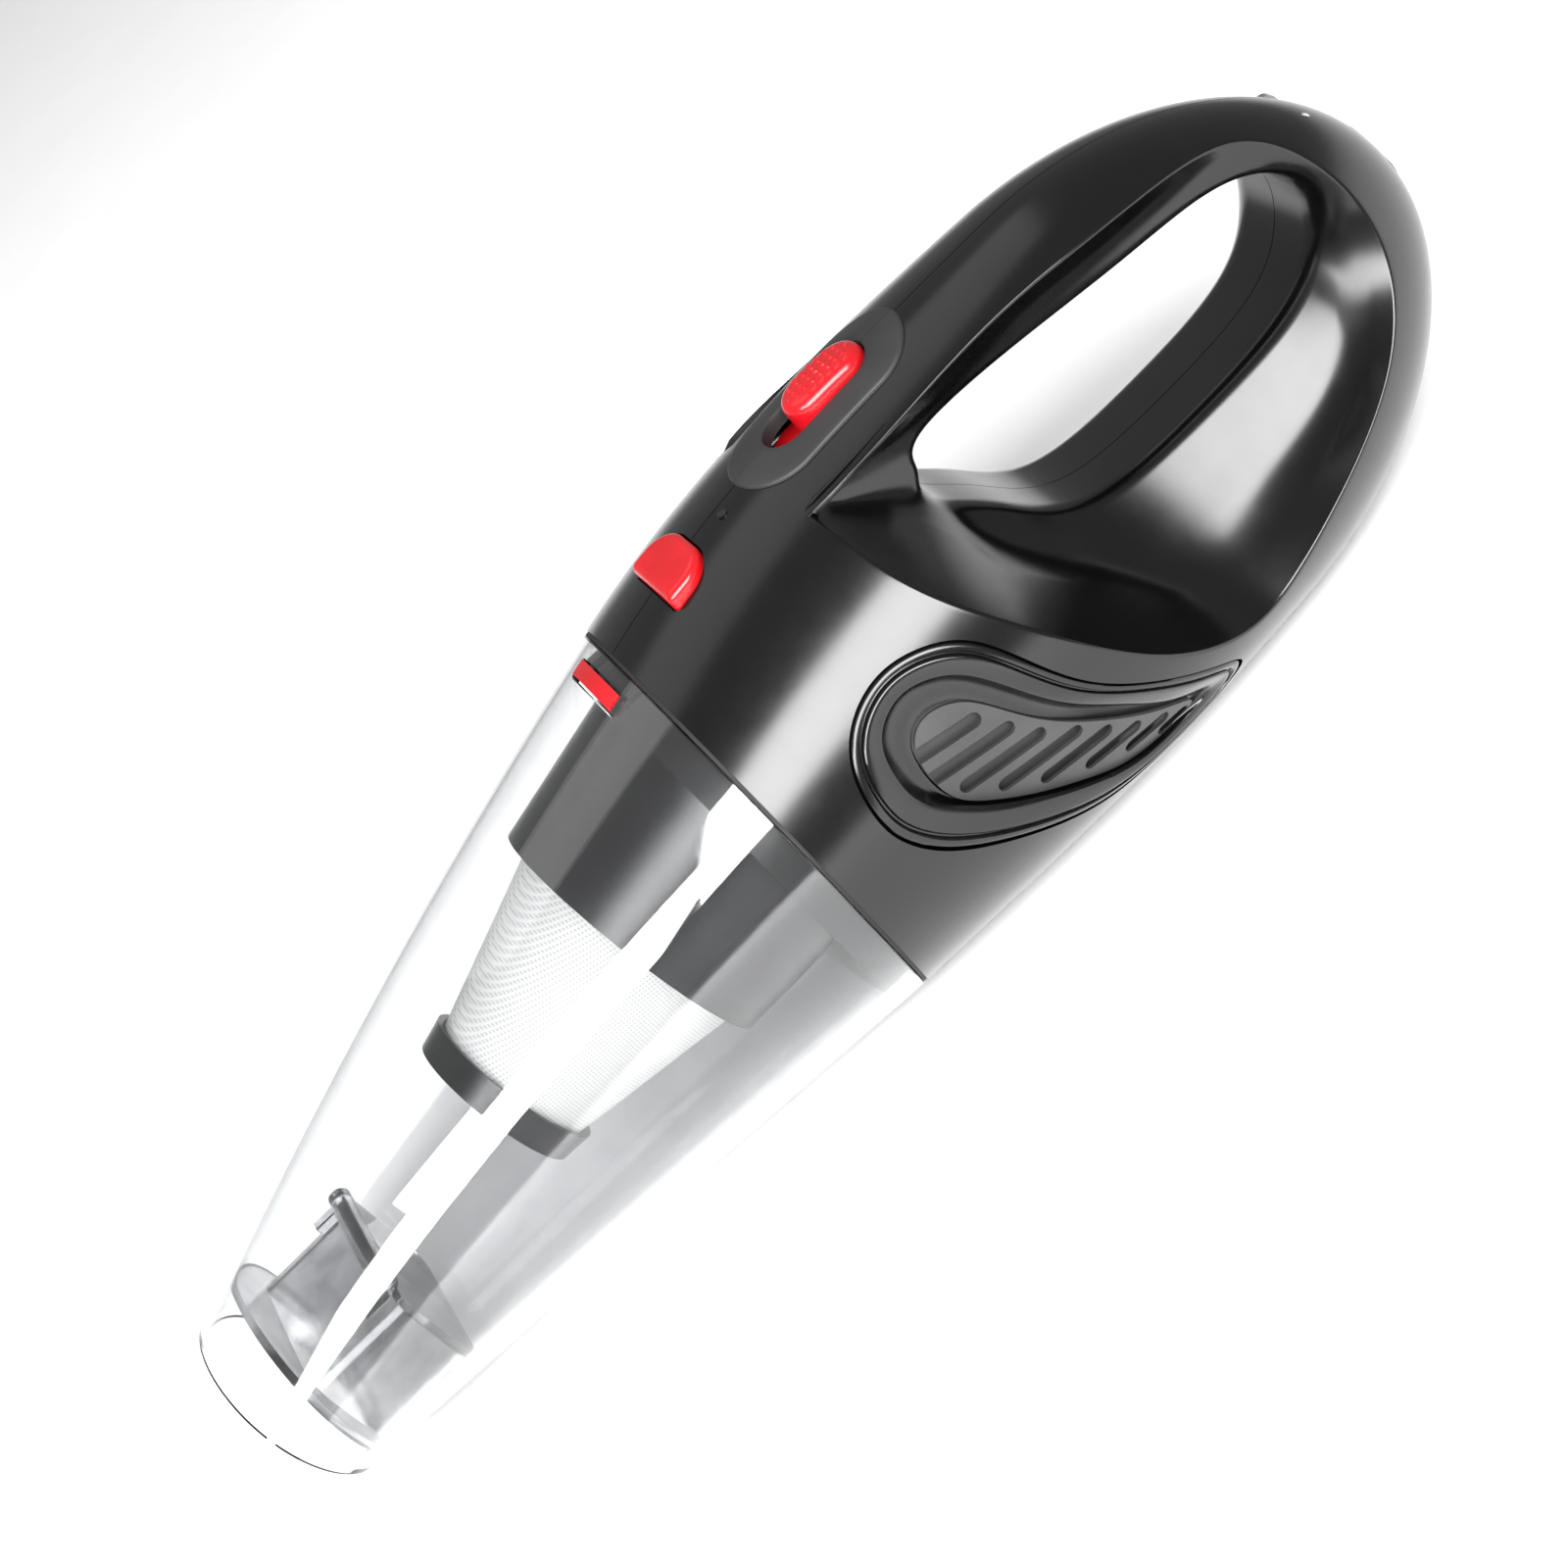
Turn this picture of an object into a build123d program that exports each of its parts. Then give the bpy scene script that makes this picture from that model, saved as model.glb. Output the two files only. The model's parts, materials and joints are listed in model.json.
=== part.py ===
from build123d import *
import math
import os

os.makedirs("parts", exist_ok=True)

# Handheld vacuum, in millimetres. +X runs from the nozzle to the tail, +Z is up, and the
# object rests on its belly at Z = 0. The seam is the plane where the dust cup meets the casing.

# ---------------------------------------------------------------- driving dimensions
BODY_LENGTH = 192.0          # casing, from the seam to the tail
CUP_LENGTH = 167.5           # dust cup, from the seam to the top lip of the nozzle
SEAM_HALF_WIDTH = 54.2
SEAM_HALF_HEIGHT = 51.1
BODY_HALF_HEIGHT = 57.4      # fullest half height of the casing
BODY_RISE = 5.6              # how far the casing's middle climbs above the seam's middle
BODY_SIDE_SWELL = 2.0
BODY_LEAN = 0.12             # egg shape: how much narrower the top is than the bottom
NOZZLE_HALF_WIDTH = 29.2
NOZZLE_TOP = 46.8            # height of the nozzle's top lip
NOZZLE_BOTTOM = 6.3
NOZZLE_TOP_BOW = 15.6        # how much the cup's top line arches
NOZZLE_RAKE = 17.0           # degrees, the top lip leads the bottom lip

CASING_WALL = 2.5
BELLY_FLAT = 0.3             # depth of the flat strip that the casing rests on
CUP_WALL = 2.2
HOLLOW_END = 0.985           # share of the casing's length where its hollow stops
SLIDE_GAP = 0.4              # between pieces that slide past each other
FIT_GAP = 0.15               # between pieces that are assembled once
SHAFT_GAP = 0.05             # radial running fit

DISH_FRONT = 46.5            # front corner of the side recess, behind the seam
TAIL_THICKNESS = 19.0        # tail loop, from the recess to the tail end
TUNNEL_HALF_TOP = 12.0       # half width of the grip hole's edge under the bar
TUNNEL_HALF_DROP = 0.05      # extra half width for each millimetre lower
TUNNEL_TOP_AT = 95.0

SEAL_THICKNESS = 0.8
SEAL_WIDTH = 3.0
SEAL_INSET = 0.5             # from the outside of the seam to the seal
BULKHEAD_THICKNESS = 4.0
BULKHEAD_SET_BACK = 0.5
SPIGOT_LENGTH = 8.0
SPIGOT_WALL = 1.8
SPIGOT_PLAY = 0.8            # extra room round the spigot, so that the cup pushes on easily

FILTER_TILT = 8.5            # degrees, the filter's axis dips towards the nozzle
FILTER_AXIS_HEIGHT = 56.0    # of the filter's axis, at the seam
COLLAR_REAR_RADIUS = 36.5
COLLAR_FRONT_RADIUS = 33.0
COLLAR_LENGTH = 38.0
COLLAR_WALL = 2.0
CAGE_LENGTH = 44.5
CAGE_REAR_RADIUS = 29.0
CAGE_FRONT_RADIUS = 19.5
CAGE_RIB_WIDTH = 1.8
CAGE_RIB_DEPTH = 1.4
CAGE_RIB_COUNT = 8
MESH_THICKNESS = 0.6
END_RING_WIDTH = 7.0
END_RING_WALL = 1.8
END_RING_LEAD = 2.5          # how far the end ring reaches past the cage
END_RING_LIP = 5.0
END_DISC_THICKNESS = 1.2
HOOP_WIDTH = 2.0
GASKET_THICKNESS = 2.0
GASKET_HALF_WIDTH = 3.0
FILTER_NECK_RADIUS = 24.0    # bulkhead neck that the filter plugs onto
FILTER_NECK_LENGTH = 9.0
FILTER_NECK_WALL = 2.0

DUCT_WIDTH = 44.0
DUCT_HEIGHT = 27.0
DUCT_WALL = 1.6
DUCT_LENGTH = 26.0
DUCT_CORNER = 7.0
DUCT_FLANGE = 2.0
DUCT_FRONT = 152.5           # flange's front face, ahead of the seam
DUCT_MIDDLE = 25.5           # height of the duct's middle
FLAP_THICKNESS = 1.5
FLAP_PIN_RADIUS = 1.2
FLAP_EAR = 3.0
FLAP_OVERLAP = 1.2           # how far the flap covers past the duct's edge
EAR_WALL = 1.4

BUTTON_FRONT = 15.0          # straight edge of the release button, behind the seam
BUTTON_LENGTH = 12.0
BUTTON_HALF_WIDTH = 10.8
BUTTON_PROUD = 2.6
BUTTON_TRAVEL = 3.0
BUTTON_STOP = 1.5            # rim under the casing that keeps the button in
BUTTON_STOP_THICKNESS = 2.0
BUTTON_EDGE = 1.1
LATCH_THICKNESS = 1.9
LATCH_DROP = 3.1             # the arm's top runs this far under the cup's wall
LATCH_HALF_WIDTH = 7.0
TOOTH_HALF_WIDTH = 10.3
TOOTH_LENGTH = 3.6
TOOTH_AHEAD = 8.6            # tooth's front face, ahead of the seam
SPRING_RADIUS = 3.4
SPRING_WIRE = 0.45
SPRING_TURNS = 4
SPRING_PRESSED = 3.05        # the spring's height when the button is down
SPRING_SEAT_GAP = 0.2
SHELF_THICKNESS = 1.6
SHELF_HALF_WIDTH = 8.0

SLOT_FRONT = 51.5            # switch slot, behind the seam
SLOT_LENGTH = 28.0
SLOT_WIDTH = 13.0
PAD_MARGIN_FRONT = 10.0
PAD_MARGIN_REAR = 9.5
PAD_HALF_WIDTH = 13.5
PAD_PROUD = 0.9
CAP_LENGTH = 20.5
CAP_WIDTH = 12.2
CAP_PROUD = 3.9
SWITCH_TRAVEL = 6.0
SLIDER_PLATE = 1.6
SLIDER_MARGIN = 1.75         # how far the slider's plate reaches past the slot's sides
CAP_EDGE = 1.8
CEILING_DROP = 1.2           # the slider runs this far under the casing's inside
SWITCH_BODY = (22.0, 11.0, 7.0)

VENT_FRONT = 16.0            # round head of the side vent, behind the seam
VENT_HEAD_HEIGHT = 61.5
VENT_HEAD_RADIUS = 21.5
VENT_TAIL_BACK = 94.0        # pointed tail of the vent, behind the seam
VENT_TAIL_HEIGHT = 24.0
VENT_TAIL_RADIUS = 9.0
VENT_GROOVE = 1.4
VENT_RIM = 7.0
VENT_GROOVE_WIDTH = 1.6
GRILLE_THICKNESS = 1.8
GRILLE_SINK = 1.6
GRILLE_BORDER = 1.4
LOUVRE_COUNT = 8
LOUVRE_WIDTH = 3.4
LOUVRE_PITCH = 6.3
LOUVRE_FALL = 8.0            # degrees, the louvres dip towards the tail
LOUVRE_TOP = 8.5             # highest louvre, above the middle of the vent's head

LIGHT_BACK = 35.4
LIGHT_SIDE = -3.4
LIGHT_RADIUS = 1.2

FAN_RADIUS = 34.0
FAN_WIDTH = 12.0
FAN_WALL = 1.8
FAN_BACK = 10.0              # front of the fan housing, behind the seam
FAN_EYE_RADIUS = 14.0
FAN_WINDOW_COUNT = 8
FAN_WINDOW_HALF_WIDTH = 5.5
FAN_WINDOW_RIM = 2.0
FAN_HUB_HOLE = 6.0
IMPELLER_GAP = 2.0
IMPELLER_DISC = 1.2
HUB_RADIUS = 5.0
BLADE_COUNT = 9
BLADE_THICKNESS = 1.2
MOTOR_RADIUS = 18.0
MOTOR_LENGTH = 40.0
MOTOR_CAP_LENGTH = 4.0
MOTOR_GAP = 0.4              # between the fan housing and the motor
CAN_WALL = 1.5
CAN_FACE = 2.0
BEARING_RADIUS = 5.0
BEARING_LENGTH = 5.0
WINDING_MARGIN = 8.0         # bare shaft inside the can, at each end of the windings
WINDING_GAP = 4.5            # room for the magnets, from the can's outside
SHAFT_RADIUS = 1.6
MOUNT_RING_WIDTH = 5.0
MOUNT_RING_WALL = 2.5
MOUNT_RING_BACK = 12.0       # rear ring, ahead of the can's end
FRONT_RING_INNER = 1.0       # front ring, outside the fan's eye
FRONT_RING_OUTER = 5.0

CELL_RADIUS = 9.1
CELL_LENGTH = 65.0
CELL_GAP = 0.5
CELLS_BEHIND_MOTOR = 7.6
CELL_LIFT = 2.2              # from the casing's inside to the lower cells, at their tail end
CELL_SIDE_GAP = 0.2
TRAY_END_WALL = 2.0
TRAY_MARGIN = 11.0           # how far the tray reaches past the cells' middles
STRAP_THICKNESS = 0.3
STRAP_HALF_WIDTH = 4.0

JACK_BORE_RADIUS = 2.75
JACK_RADIUS = 4.6
JACK_DEPTH = 9.0
JACK_LENGTH = 13.0
JACK_BACK_WALL = 1.5
JACK_SINK = 0.2
JACK_PIN_RADIUS = 0.9

BOARD = (22.0, 20.0, 1.6)
BOARD_ABOVE_MOTOR = 8.0
# Components on the charging board: offset along, offset across, side, height.
BOARD_BLOCKS = [(-6, 4, 5.0, 2.2), (1, 5, 6.0, 1.4), (-5, -5, 4.0, 3.0), (7, -5, 3.0, 1.2)]
SCREW_RADIUS = 1.4
SCREW_HEAD_RADIUS = 2.7
SCREW_HEAD_HEIGHT = 2.0
SCREW_HEAD_SINK = 4.5
SCREW_BITE = 10.0
SCREW_END_WALL = 2.0         # plastic left beyond the end of a screw's hole
CROSS_HALF_LENGTH = 1.6
CROSS_HALF_WIDTH = 0.35
BOSS_RADIUS = 3.6
FRONT_SCREW_LOW = (47.0, 13.5)       # behind the seam, height
FRONT_SCREW_HIGH_AHEAD = 4.5         # ahead of the side recess's front corner
FRONT_SCREW_HIGH_AT = 91.0
TAIL_SCREW_AT = 83.0
BAR_SCREW_DROP = 11.5                # below the crown
LEAD_RADIUS = 0.8
LEAD_STAND_OFF = 0.7         # between a lead's end and the tab it is soldered to
LEAD_SPREAD = 3.0            # half the distance between the two switch leads
LEAD_DROP_BACK = 4.0         # leads hang this far behind the motor

# ---------------------------------------------------------------- places worked out
SEAM_X = (CUP_LENGTH - BODY_LENGTH) / 2
SEAM_MIDDLE = SEAM_HALF_HEIGHT
AXIS_HEIGHT = SEAM_MIDDLE
FULLEST = 0.6                # share of the casing's length where its height stops growing
TAIL_TRIM = 0.996            # the tail's round end is cut here for the charging socket
FORM_LENGTH = BODY_LENGTH / TAIL_TRIM
DISH_LENGTH = BODY_LENGTH - DISH_FRONT - TAIL_THICKNESS
CROWN = SEAM_MIDDLE + BODY_RISE + BODY_HALF_HEIGHT
OUTSIDE = BODY_HALF_HEIGHT + BODY_LENGTH


# ---------------------------------------------------------------- shape of the casing
def casing_section(along):
    """Half width, half height, middle height and lean at a share of the casing's length."""
    if along < FULLEST:
        grow = 1 - (1 - along / FULLEST) ** 2.6
        half_height = SEAM_HALF_HEIGHT + (BODY_HALF_HEIGHT - SEAM_HALF_HEIGHT) * grow
    else:
        past = (along - FULLEST) / (1 - FULLEST)
        half_height = BODY_HALF_HEIGHT * max(0.0, 1 - past ** 1.93) ** (1 / 1.93)
    middle = SEAM_MIDDLE + BODY_RISE * (1 - (1 - along) ** 5)
    swell = BODY_SIDE_SWELL * math.sin(math.pi * min(along / FULLEST, 1))
    half_width = (SEAM_HALF_WIDTH + swell) * math.sqrt(max(0.0, 1 - along ** 2.6))
    lean = BODY_LEAN * (1 - (1 - along) ** 2)
    # The egg hangs a little below the table, so that the belly can be cut flat
    return half_width, half_height + BELLY_FLAT / 2, middle - BELLY_FLAT / 2, lean


def casing_half_width(back, height):
    """Half width of the casing at a distance behind the seam and a height."""
    half_width, half_height, middle, lean = casing_section(back / FORM_LENGTH)
    level = (height - middle) / half_height
    return half_width * math.sqrt(max(0.0, 1 - level ** 2)) * (1 - lean * level)


def casing_top(back):
    section = casing_section(back / FORM_LENGTH)
    return section[2] + section[1]


def cup_section(ahead):
    """Half width, half height and middle height at a share of the cup's length."""
    top = SEAM_MIDDLE + SEAM_HALF_HEIGHT
    fall = top - NOZZLE_TOP - NOZZLE_TOP_BOW
    top = top - fall * ahead - NOZZLE_TOP_BOW * ahead ** 2
    bottom = NOZZLE_BOTTOM * ahead
    half_width = SEAM_HALF_WIDTH + (NOZZLE_HALF_WIDTH - SEAM_HALF_WIDTH) * ahead
    return half_width, (top - bottom) / 2, (top + bottom) / 2


def ring(x, half_width, half_height, middle, lean=0.0, count=20):
    """A closed egg-shaped wire across the object."""
    points = []
    for step in range(count):
        turn = 2 * math.pi * step / count
        y = half_width * math.sin(turn) * (1 - lean * math.cos(turn))
        points.append((x, y, middle + half_height * math.cos(turn)))
    return Wire([Edge.make_spline(points, periodic=True)])


def casing_form(inset, front=0.0, rear=TAIL_TRIM):
    """Solid of the casing's outside, drawn in by inset, between two shares of its length."""
    shares = [front, 0.10, 0.22, 0.36, 0.50, 0.62, 0.73, 0.82, 0.89, 0.94, 0.975, rear]
    rings = []
    for share in shares:
        half_width, half_height, middle, lean = casing_section(share)
        x = SEAM_X + share * FORM_LENGTH
        rings.append(ring(x, half_width - inset, half_height - inset, middle, lean))
    return Solid.make_loft(rings)


def cup_form(inset, front=1.06, rear=0.0):
    """Solid of the dust cup's outside, drawn in by inset."""
    rings = []
    for step in range(6):
        ahead = rear + (front - rear) * step / 5
        half_width, half_height, middle = cup_section(ahead)
        x = SEAM_X - ahead * CUP_LENGTH
        rings.append(ring(x, half_width - inset, half_height - inset, middle))
    return Solid.make_loft(rings)


def block(x0, x1, y0, y1, z0, z1):
    return Pos((x0 + x1) / 2, (y0 + y1) / 2, (z0 + z1) / 2) * Box(x1 - x0, y1 - y0, z1 - z0)


def rod(start, direction, radius, length):
    """Cylinder from a start point along a direction."""
    plane = Plane(origin=start, z_dir=direction)
    return extrude(plane * Circle(radius), amount=length)


def tube(start, direction, outer, inner, length):
    plane = Plane(origin=start, z_dir=direction)
    return extrude(plane * (Circle(outer) - Circle(inner)), amount=length)


# Each row is one ray from the grip hole to the outside, as shares of the recess length and of
# the crown height: the hole's edge, the foot of the recess with its half width in millimetres,
# and the sharp outer edge of the recess. The first row is the pointed front corner, and the
# rows go round over the top, the tail and the underside.
DISH_RAYS = [
    ((0.194, 0.789), (0.028, 0.903), 16.0, (0.000, 0.929)),
    ((0.241, 0.835), (0.217, 0.890), 15.2, (0.194, 0.940)),
    ((0.447, 0.826), (0.435, 0.888), 15.0, (0.423, 0.945)),
    ((0.668, 0.798), (0.672, 0.862), 14.4, (0.676, 0.918)),
    ((0.866, 0.767), (0.889, 0.806), 13.4, (0.909, 0.837)),
    ((0.964, 0.675), (0.978, 0.679), 17.0, (1.000, 0.679)),
    ((0.921, 0.552), (0.949, 0.526), 21.0, (0.988, 0.508)),
    ((0.802, 0.486), (0.826, 0.372), 26.0, (0.858, 0.359)),
    ((0.605, 0.469), (0.621, 0.313), 28.0, (0.621, 0.259)),
    ((0.383, 0.495), (0.415, 0.333), 27.5, (0.431, 0.223)),
    ((0.265, 0.614), (0.281, 0.465), 25.0, (0.257, 0.377)),
    ((0.194, 0.701), (0.186, 0.622), 21.7, (0.123, 0.609)),
    ((0.178, 0.754), (0.126, 0.780), 18.2, (0.032, 0.789)),
]


def dish_point(share):
    return share[0] * DISH_LENGTH + DISH_FRONT, share[1] * CROWN


def outline_wire(points, grow, side):
    """Closed spline through (back, height, half width) points, pushed outwards by grow."""
    count = len(points)
    moved = []
    for index in range(count):
        back, height, half_width = points[index]
        before = points[index - 1]
        after = points[(index + 1) % count]
        run = (after[0] - before[0], after[1] - before[1])
        size = math.hypot(run[0], run[1])
        back = back - run[1] / size * grow
        height = height + run[0] / size * grow
        moved.append((SEAM_X + back, side * half_width, height))
    moved.append(moved[0])
    return Wire([Edge.make_spline(moved, parameters=[i / count for i in range(count + 1)])])


def dish_outlines(sink):
    """The hole's edge, the recess's foot and its far outline, sunk into the wall by sink."""
    hole, foot, outer = [], [], []
    far = SEAM_HALF_WIDTH + BODY_SIDE_SWELL + 4
    for hole_share, foot_share, foot_half, edge_share in DISH_RAYS:
        back, height = dish_point(hole_share)
        hole_half = TUNNEL_HALF_TOP + TUNNEL_HALF_DROP * (TUNNEL_TOP_AT - height)
        hole.append((back, height, hole_half - sink / 2))
        foot_back, foot_height = dish_point(foot_share)
        foot.append((foot_back, foot_height, foot_half - sink))
        edge_back, edge_height = dish_point(edge_share)
        edge_half = casing_half_width(edge_back, edge_height)
        reach = (far - foot_half) / (edge_half - foot_half)
        outer_back = foot_back + (edge_back - foot_back) * reach
        outer_height = foot_height + (edge_height - foot_height) * reach
        outer.append((outer_back, outer_height, far))
    return hole, foot, outer


def grip_cutter(grow):
    """Solid of the grip hole and both side recesses, drawn larger by grow."""
    hole, foot, outer = dish_outlines(grow)
    wires = []
    for outline in (outer, foot, hole):
        wires.append(outline_wire(outline, grow, -1))
    for outline in (hole, foot, outer):
        wires.append(outline_wire(outline, grow, 1))
    return Solid.make_loft(wires, ruled=True)


# ---------------------------------------------------------------- casing halves
def obround(length, width, x_middle, y_middle, z0, z1):
    """Upright obround block, long along X."""
    face = Plane((x_middle, y_middle, z0)) * SlotOverall(length, width)
    return extrude(face, amount=z1 - z0)


def drop_outline(margin):
    """Teardrop face of the side vent in the XZ plane, larger all round by margin."""
    head = Vector(SEAM_X + VENT_FRONT + VENT_HEAD_RADIUS, VENT_HEAD_HEIGHT)
    tail = Vector(SEAM_X + VENT_TAIL_BACK - VENT_TAIL_RADIUS, VENT_TAIL_HEIGHT)
    head_radius = VENT_HEAD_RADIUS + margin
    tail_radius = VENT_TAIL_RADIUS + margin
    run = tail - head
    slope = math.atan2(run.Y, run.X)
    spread = math.acos((head_radius - tail_radius) / run.length)
    touch = []
    for centre, radius in ((head, head_radius), (tail, tail_radius)):
        for sign in (1, -1):
            turn = slope + sign * spread
            touch.append((centre.X + radius * math.cos(turn), centre.Y + radius * math.sin(turn)))
    head_top, head_low, tail_top, tail_low = touch
    nose = (head.X - head_radius * math.cos(slope), head.Y - head_radius * math.sin(slope))
    tip = (tail.X + tail_radius * math.cos(slope), tail.Y + tail_radius * math.sin(slope))
    edges = [
        Edge.make_three_point_arc(head_low, nose, head_top),
        Edge.make_line(head_top, tail_top),
        Edge.make_three_point_arc(tail_top, tip, tail_low),
        Edge.make_line(tail_low, head_low),
    ]
    return Face(Wire(edges))


def vent_prism(margin, side):
    """The vent's outline carried outwards from near the middle on one side."""
    face = Plane.XZ * drop_outline(margin)
    reach = SEAM_HALF_WIDTH + BODY_SIDE_SWELL + 5
    return Pos(0, side * reach, 0) * extrude(face, amount=reach - 15, dir=(0, -side, 0))


slot_middle = SEAM_X + SLOT_FRONT + SLOT_LENGTH / 2
pad_front = SLOT_FRONT - PAD_MARGIN_FRONT
pad_rear = SLOT_FRONT + SLOT_LENGTH + PAD_MARGIN_REAR
button_x = SEAM_X + BUTTON_FRONT
button_top = casing_top(BUTTON_FRONT + BUTTON_LENGTH / 2) + BUTTON_PROUD
ceiling = casing_top(SLOT_FRONT - SWITCH_TRAVEL) - CASING_WALL - CEILING_DROP

# Screws: distance behind the seam, height. The one in the grip bar is shorter.
bar_screw = (DISH_FRONT + 0.565 * DISH_LENGTH, CROWN - BAR_SCREW_DROP)
screw_places = [
    FRONT_SCREW_LOW,
    (DISH_FRONT - FRONT_SCREW_HIGH_AHEAD, FRONT_SCREW_HIGH_AT),
    (DISH_FRONT + 0.84 * DISH_LENGTH, 0.255 * CROWN),
    bar_screw,
    (BODY_LENGTH - TAIL_THICKNESS / 2 - 3.0, TAIL_SCREW_AT),
]


def screw_reach(place):
    """Half width of the casing at a screw; the grip bar is cut narrower by the recess."""
    if place == bar_screw:
        return TUNNEL_HALF_TOP + 1.2
    return casing_half_width(*place)


def button_outline(grow):
    """D-shaped face: a straight edge towards the nozzle and a rounded one to the tail."""
    width = 2 * (BUTTON_HALF_WIDTH + grow)
    square = Rectangle(BUTTON_LENGTH * 2 + 2 * grow, width)
    square = fillet(square.vertices(), BUTTON_LENGTH * 0.62)
    keep = Pos(BUTTON_LENGTH, 0) * Rectangle(BUTTON_LENGTH * 2 + 2 * grow, width)
    shape = square & keep
    return Pos(-grow, 0) * shape if grow else shape


body_form = casing_form(0)
floor_cut = block(-OUTSIDE, OUTSIDE, -OUTSIDE, OUTSIDE, -OUTSIDE, 0)
cavity_floor = block(-OUTSIDE, OUTSIDE, -OUTSIDE, OUTSIDE, -OUTSIDE, CASING_WALL)
grip = grip_cutter(0)
solid_body = body_form - floor_cut

hollow = casing_form(CASING_WALL, rear=HOLLOW_END) - cavity_floor - grip_cutter(CASING_WALL)

# Raised switch pad, following the casing's top
pad_middle = SEAM_X + (pad_front + pad_rear) / 2
pad_zone = obround(
    pad_rear - pad_front, 2 * PAD_HALF_WIDTH, pad_middle, 0, ceiling - 14, CROWN + 20
)
pad_form = casing_form(-PAD_PROUD) & pad_zone
casing = (solid_body + pad_form) - grip - hollow

# Screw bosses run from wall to wall inside the casing
for back, height in screw_places:
    reach = screw_reach((back, height))
    boss = rod((SEAM_X + back, -reach, height), (0, 1, 0), BOSS_RADIUS, 2 * reach)
    casing = casing + ((boss & solid_body) - grip)

# Slot for the switch, opening for the release button, window for the charge light
casing = casing - obround(SLOT_LENGTH, SLOT_WIDTH, slot_middle, 0, ceiling - 3, CROWN + 20)
button_hole = Plane((button_x, 0, SEAM_MIDDLE + 30)) * button_outline(SLIDE_GAP)
casing = casing - extrude(button_hole, amount=60)
light_top = casing_top(LIGHT_BACK)
casing = casing - rod(
    (SEAM_X + LIGHT_BACK, LIGHT_SIDE, light_top - 12), (0, 0, 1), LIGHT_RADIUS + FIT_GAP, 20
)

# Charging socket hole in the tail
tail_x = SEAM_X + BODY_LENGTH
tail_height = casing_section(TAIL_TRIM)[2]
casing = casing - rod((tail_x + 1, 0, tail_height), (-1, 0, 0), JACK_RADIUS + FIT_GAP, 12)

# Side vents: an opening for the grille, then a shallow rim groove round it
for side in (-1, 1):
    casing = casing - vent_prism(-VENT_RIM + FIT_GAP, side)
    outer_skin = body_form - casing_form(VENT_GROOVE)
    groove = vent_prism(0, side) - vent_prism(-VENT_GROOVE_WIDTH, side)
    casing = casing - (groove & outer_skin)

# Screw holes: clearance and head seat from the right side
screws = []
for back, height in screw_places:
    reach = screw_reach((back, height))
    seat = reach - SCREW_HEAD_SINK
    x = SEAM_X + back
    head_room = SCREW_HEAD_RADIUS + SLIDE_GAP
    casing = casing - rod((x, reach + 5, height), (0, -1, 0), head_room, 5 + SCREW_HEAD_SINK)
    shank_room = SCREW_RADIUS + SHAFT_GAP
    bite = min(SCREW_BITE, reach - 1 - SCREW_END_WALL)
    casing = casing - rod((x, seat + 1, height), (0, -1, 0), shank_room, seat + 2 + bite)
    shank = rod((x, -bite, height), (0, 1, 0), SCREW_RADIUS, bite + seat)
    head = rod((x, seat, height), (0, 1, 0), SCREW_HEAD_RADIUS, SCREW_HEAD_HEIGHT)
    for half_x, half_z in (
        (CROSS_HALF_LENGTH, CROSS_HALF_WIDTH), (CROSS_HALF_WIDTH, CROSS_HALF_LENGTH)
    ):
        head = head - block(
            x - half_x, x + half_x, seat + 1, seat + 3, height - half_z, height + half_z
        )
    screws.append(shank + head)

right_side = block(-OUTSIDE, OUTSIDE, 0, OUTSIDE, -OUTSIDE, OUTSIDE)
left_side = block(-OUTSIDE, OUTSIDE, -OUTSIDE, 0, -OUTSIDE, OUTSIDE)
nodes = {}
nodes["left_casing"] = casing & left_side
nodes["right_casing"] = casing & right_side
nodes["casing_screws"] = Compound(children=screws)

# ---------------------------------------------------------------- vent grilles
vent_middle = (SEAM_X + VENT_FRONT + VENT_HEAD_RADIUS, VENT_HEAD_HEIGHT)
grille_layer = casing_form(GRILLE_SINK) - casing_form(GRILLE_SINK + GRILLE_THICKNESS)
for side, name in ((-1, "vent_grille_left"), (1, "vent_grille_right")):
    plate = grille_layer & vent_prism(-VENT_RIM, side)
    louvre_zone = vent_prism(-VENT_RIM - GRILLE_BORDER, side)
    for index in range(LOUVRE_COUNT):
        height = VENT_HEAD_HEIGHT + LOUVRE_TOP - LOUVRE_PITCH * index
        slit = Rot(0, LOUVRE_FALL, 0) * Box(OUTSIDE, 2 * OUTSIDE, LOUVRE_WIDTH)
        slit = Pos(vent_middle[0], 0, height) * slit
        plate = plate - (slit & louvre_zone)
    nodes[name] = plate

# ---------------------------------------------------------------- dust cup
CUP_BACK = SEAL_THICKNESS + 0.1
rake_turn = math.radians(NOZZLE_RAKE)
rake = Plane((SEAM_X - CUP_LENGTH, 0, NOZZLE_TOP), z_dir=(-math.cos(rake_turn), 0, -math.sin(rake_turn)))
beyond_lip = extrude(rake * Rectangle(400, 400), amount=100)
behind_cup = block(SEAM_X - CUP_BACK, SEAM_X + 50, -100, 100, -100, 200)
cup = cup_form(0, rear=-0.02) - cup_form(CUP_WALL, front=1.12, rear=-0.04)
cup = cup - beyond_lip - behind_cup
tooth_x = SEAM_X - TOOTH_AHEAD
window = block(
    tooth_x - SLIDE_GAP, tooth_x + TOOTH_LENGTH + SLIDE_GAP,
    -TOOTH_HALF_WIDTH - SLIDE_GAP, TOOTH_HALF_WIDTH + SLIDE_GAP, SEAM_MIDDLE + 20, CROWN,
)
cup = cup - window
nodes["dust_cup"] = cup

# ---------------------------------------------------------------- seal and bulkhead


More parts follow.
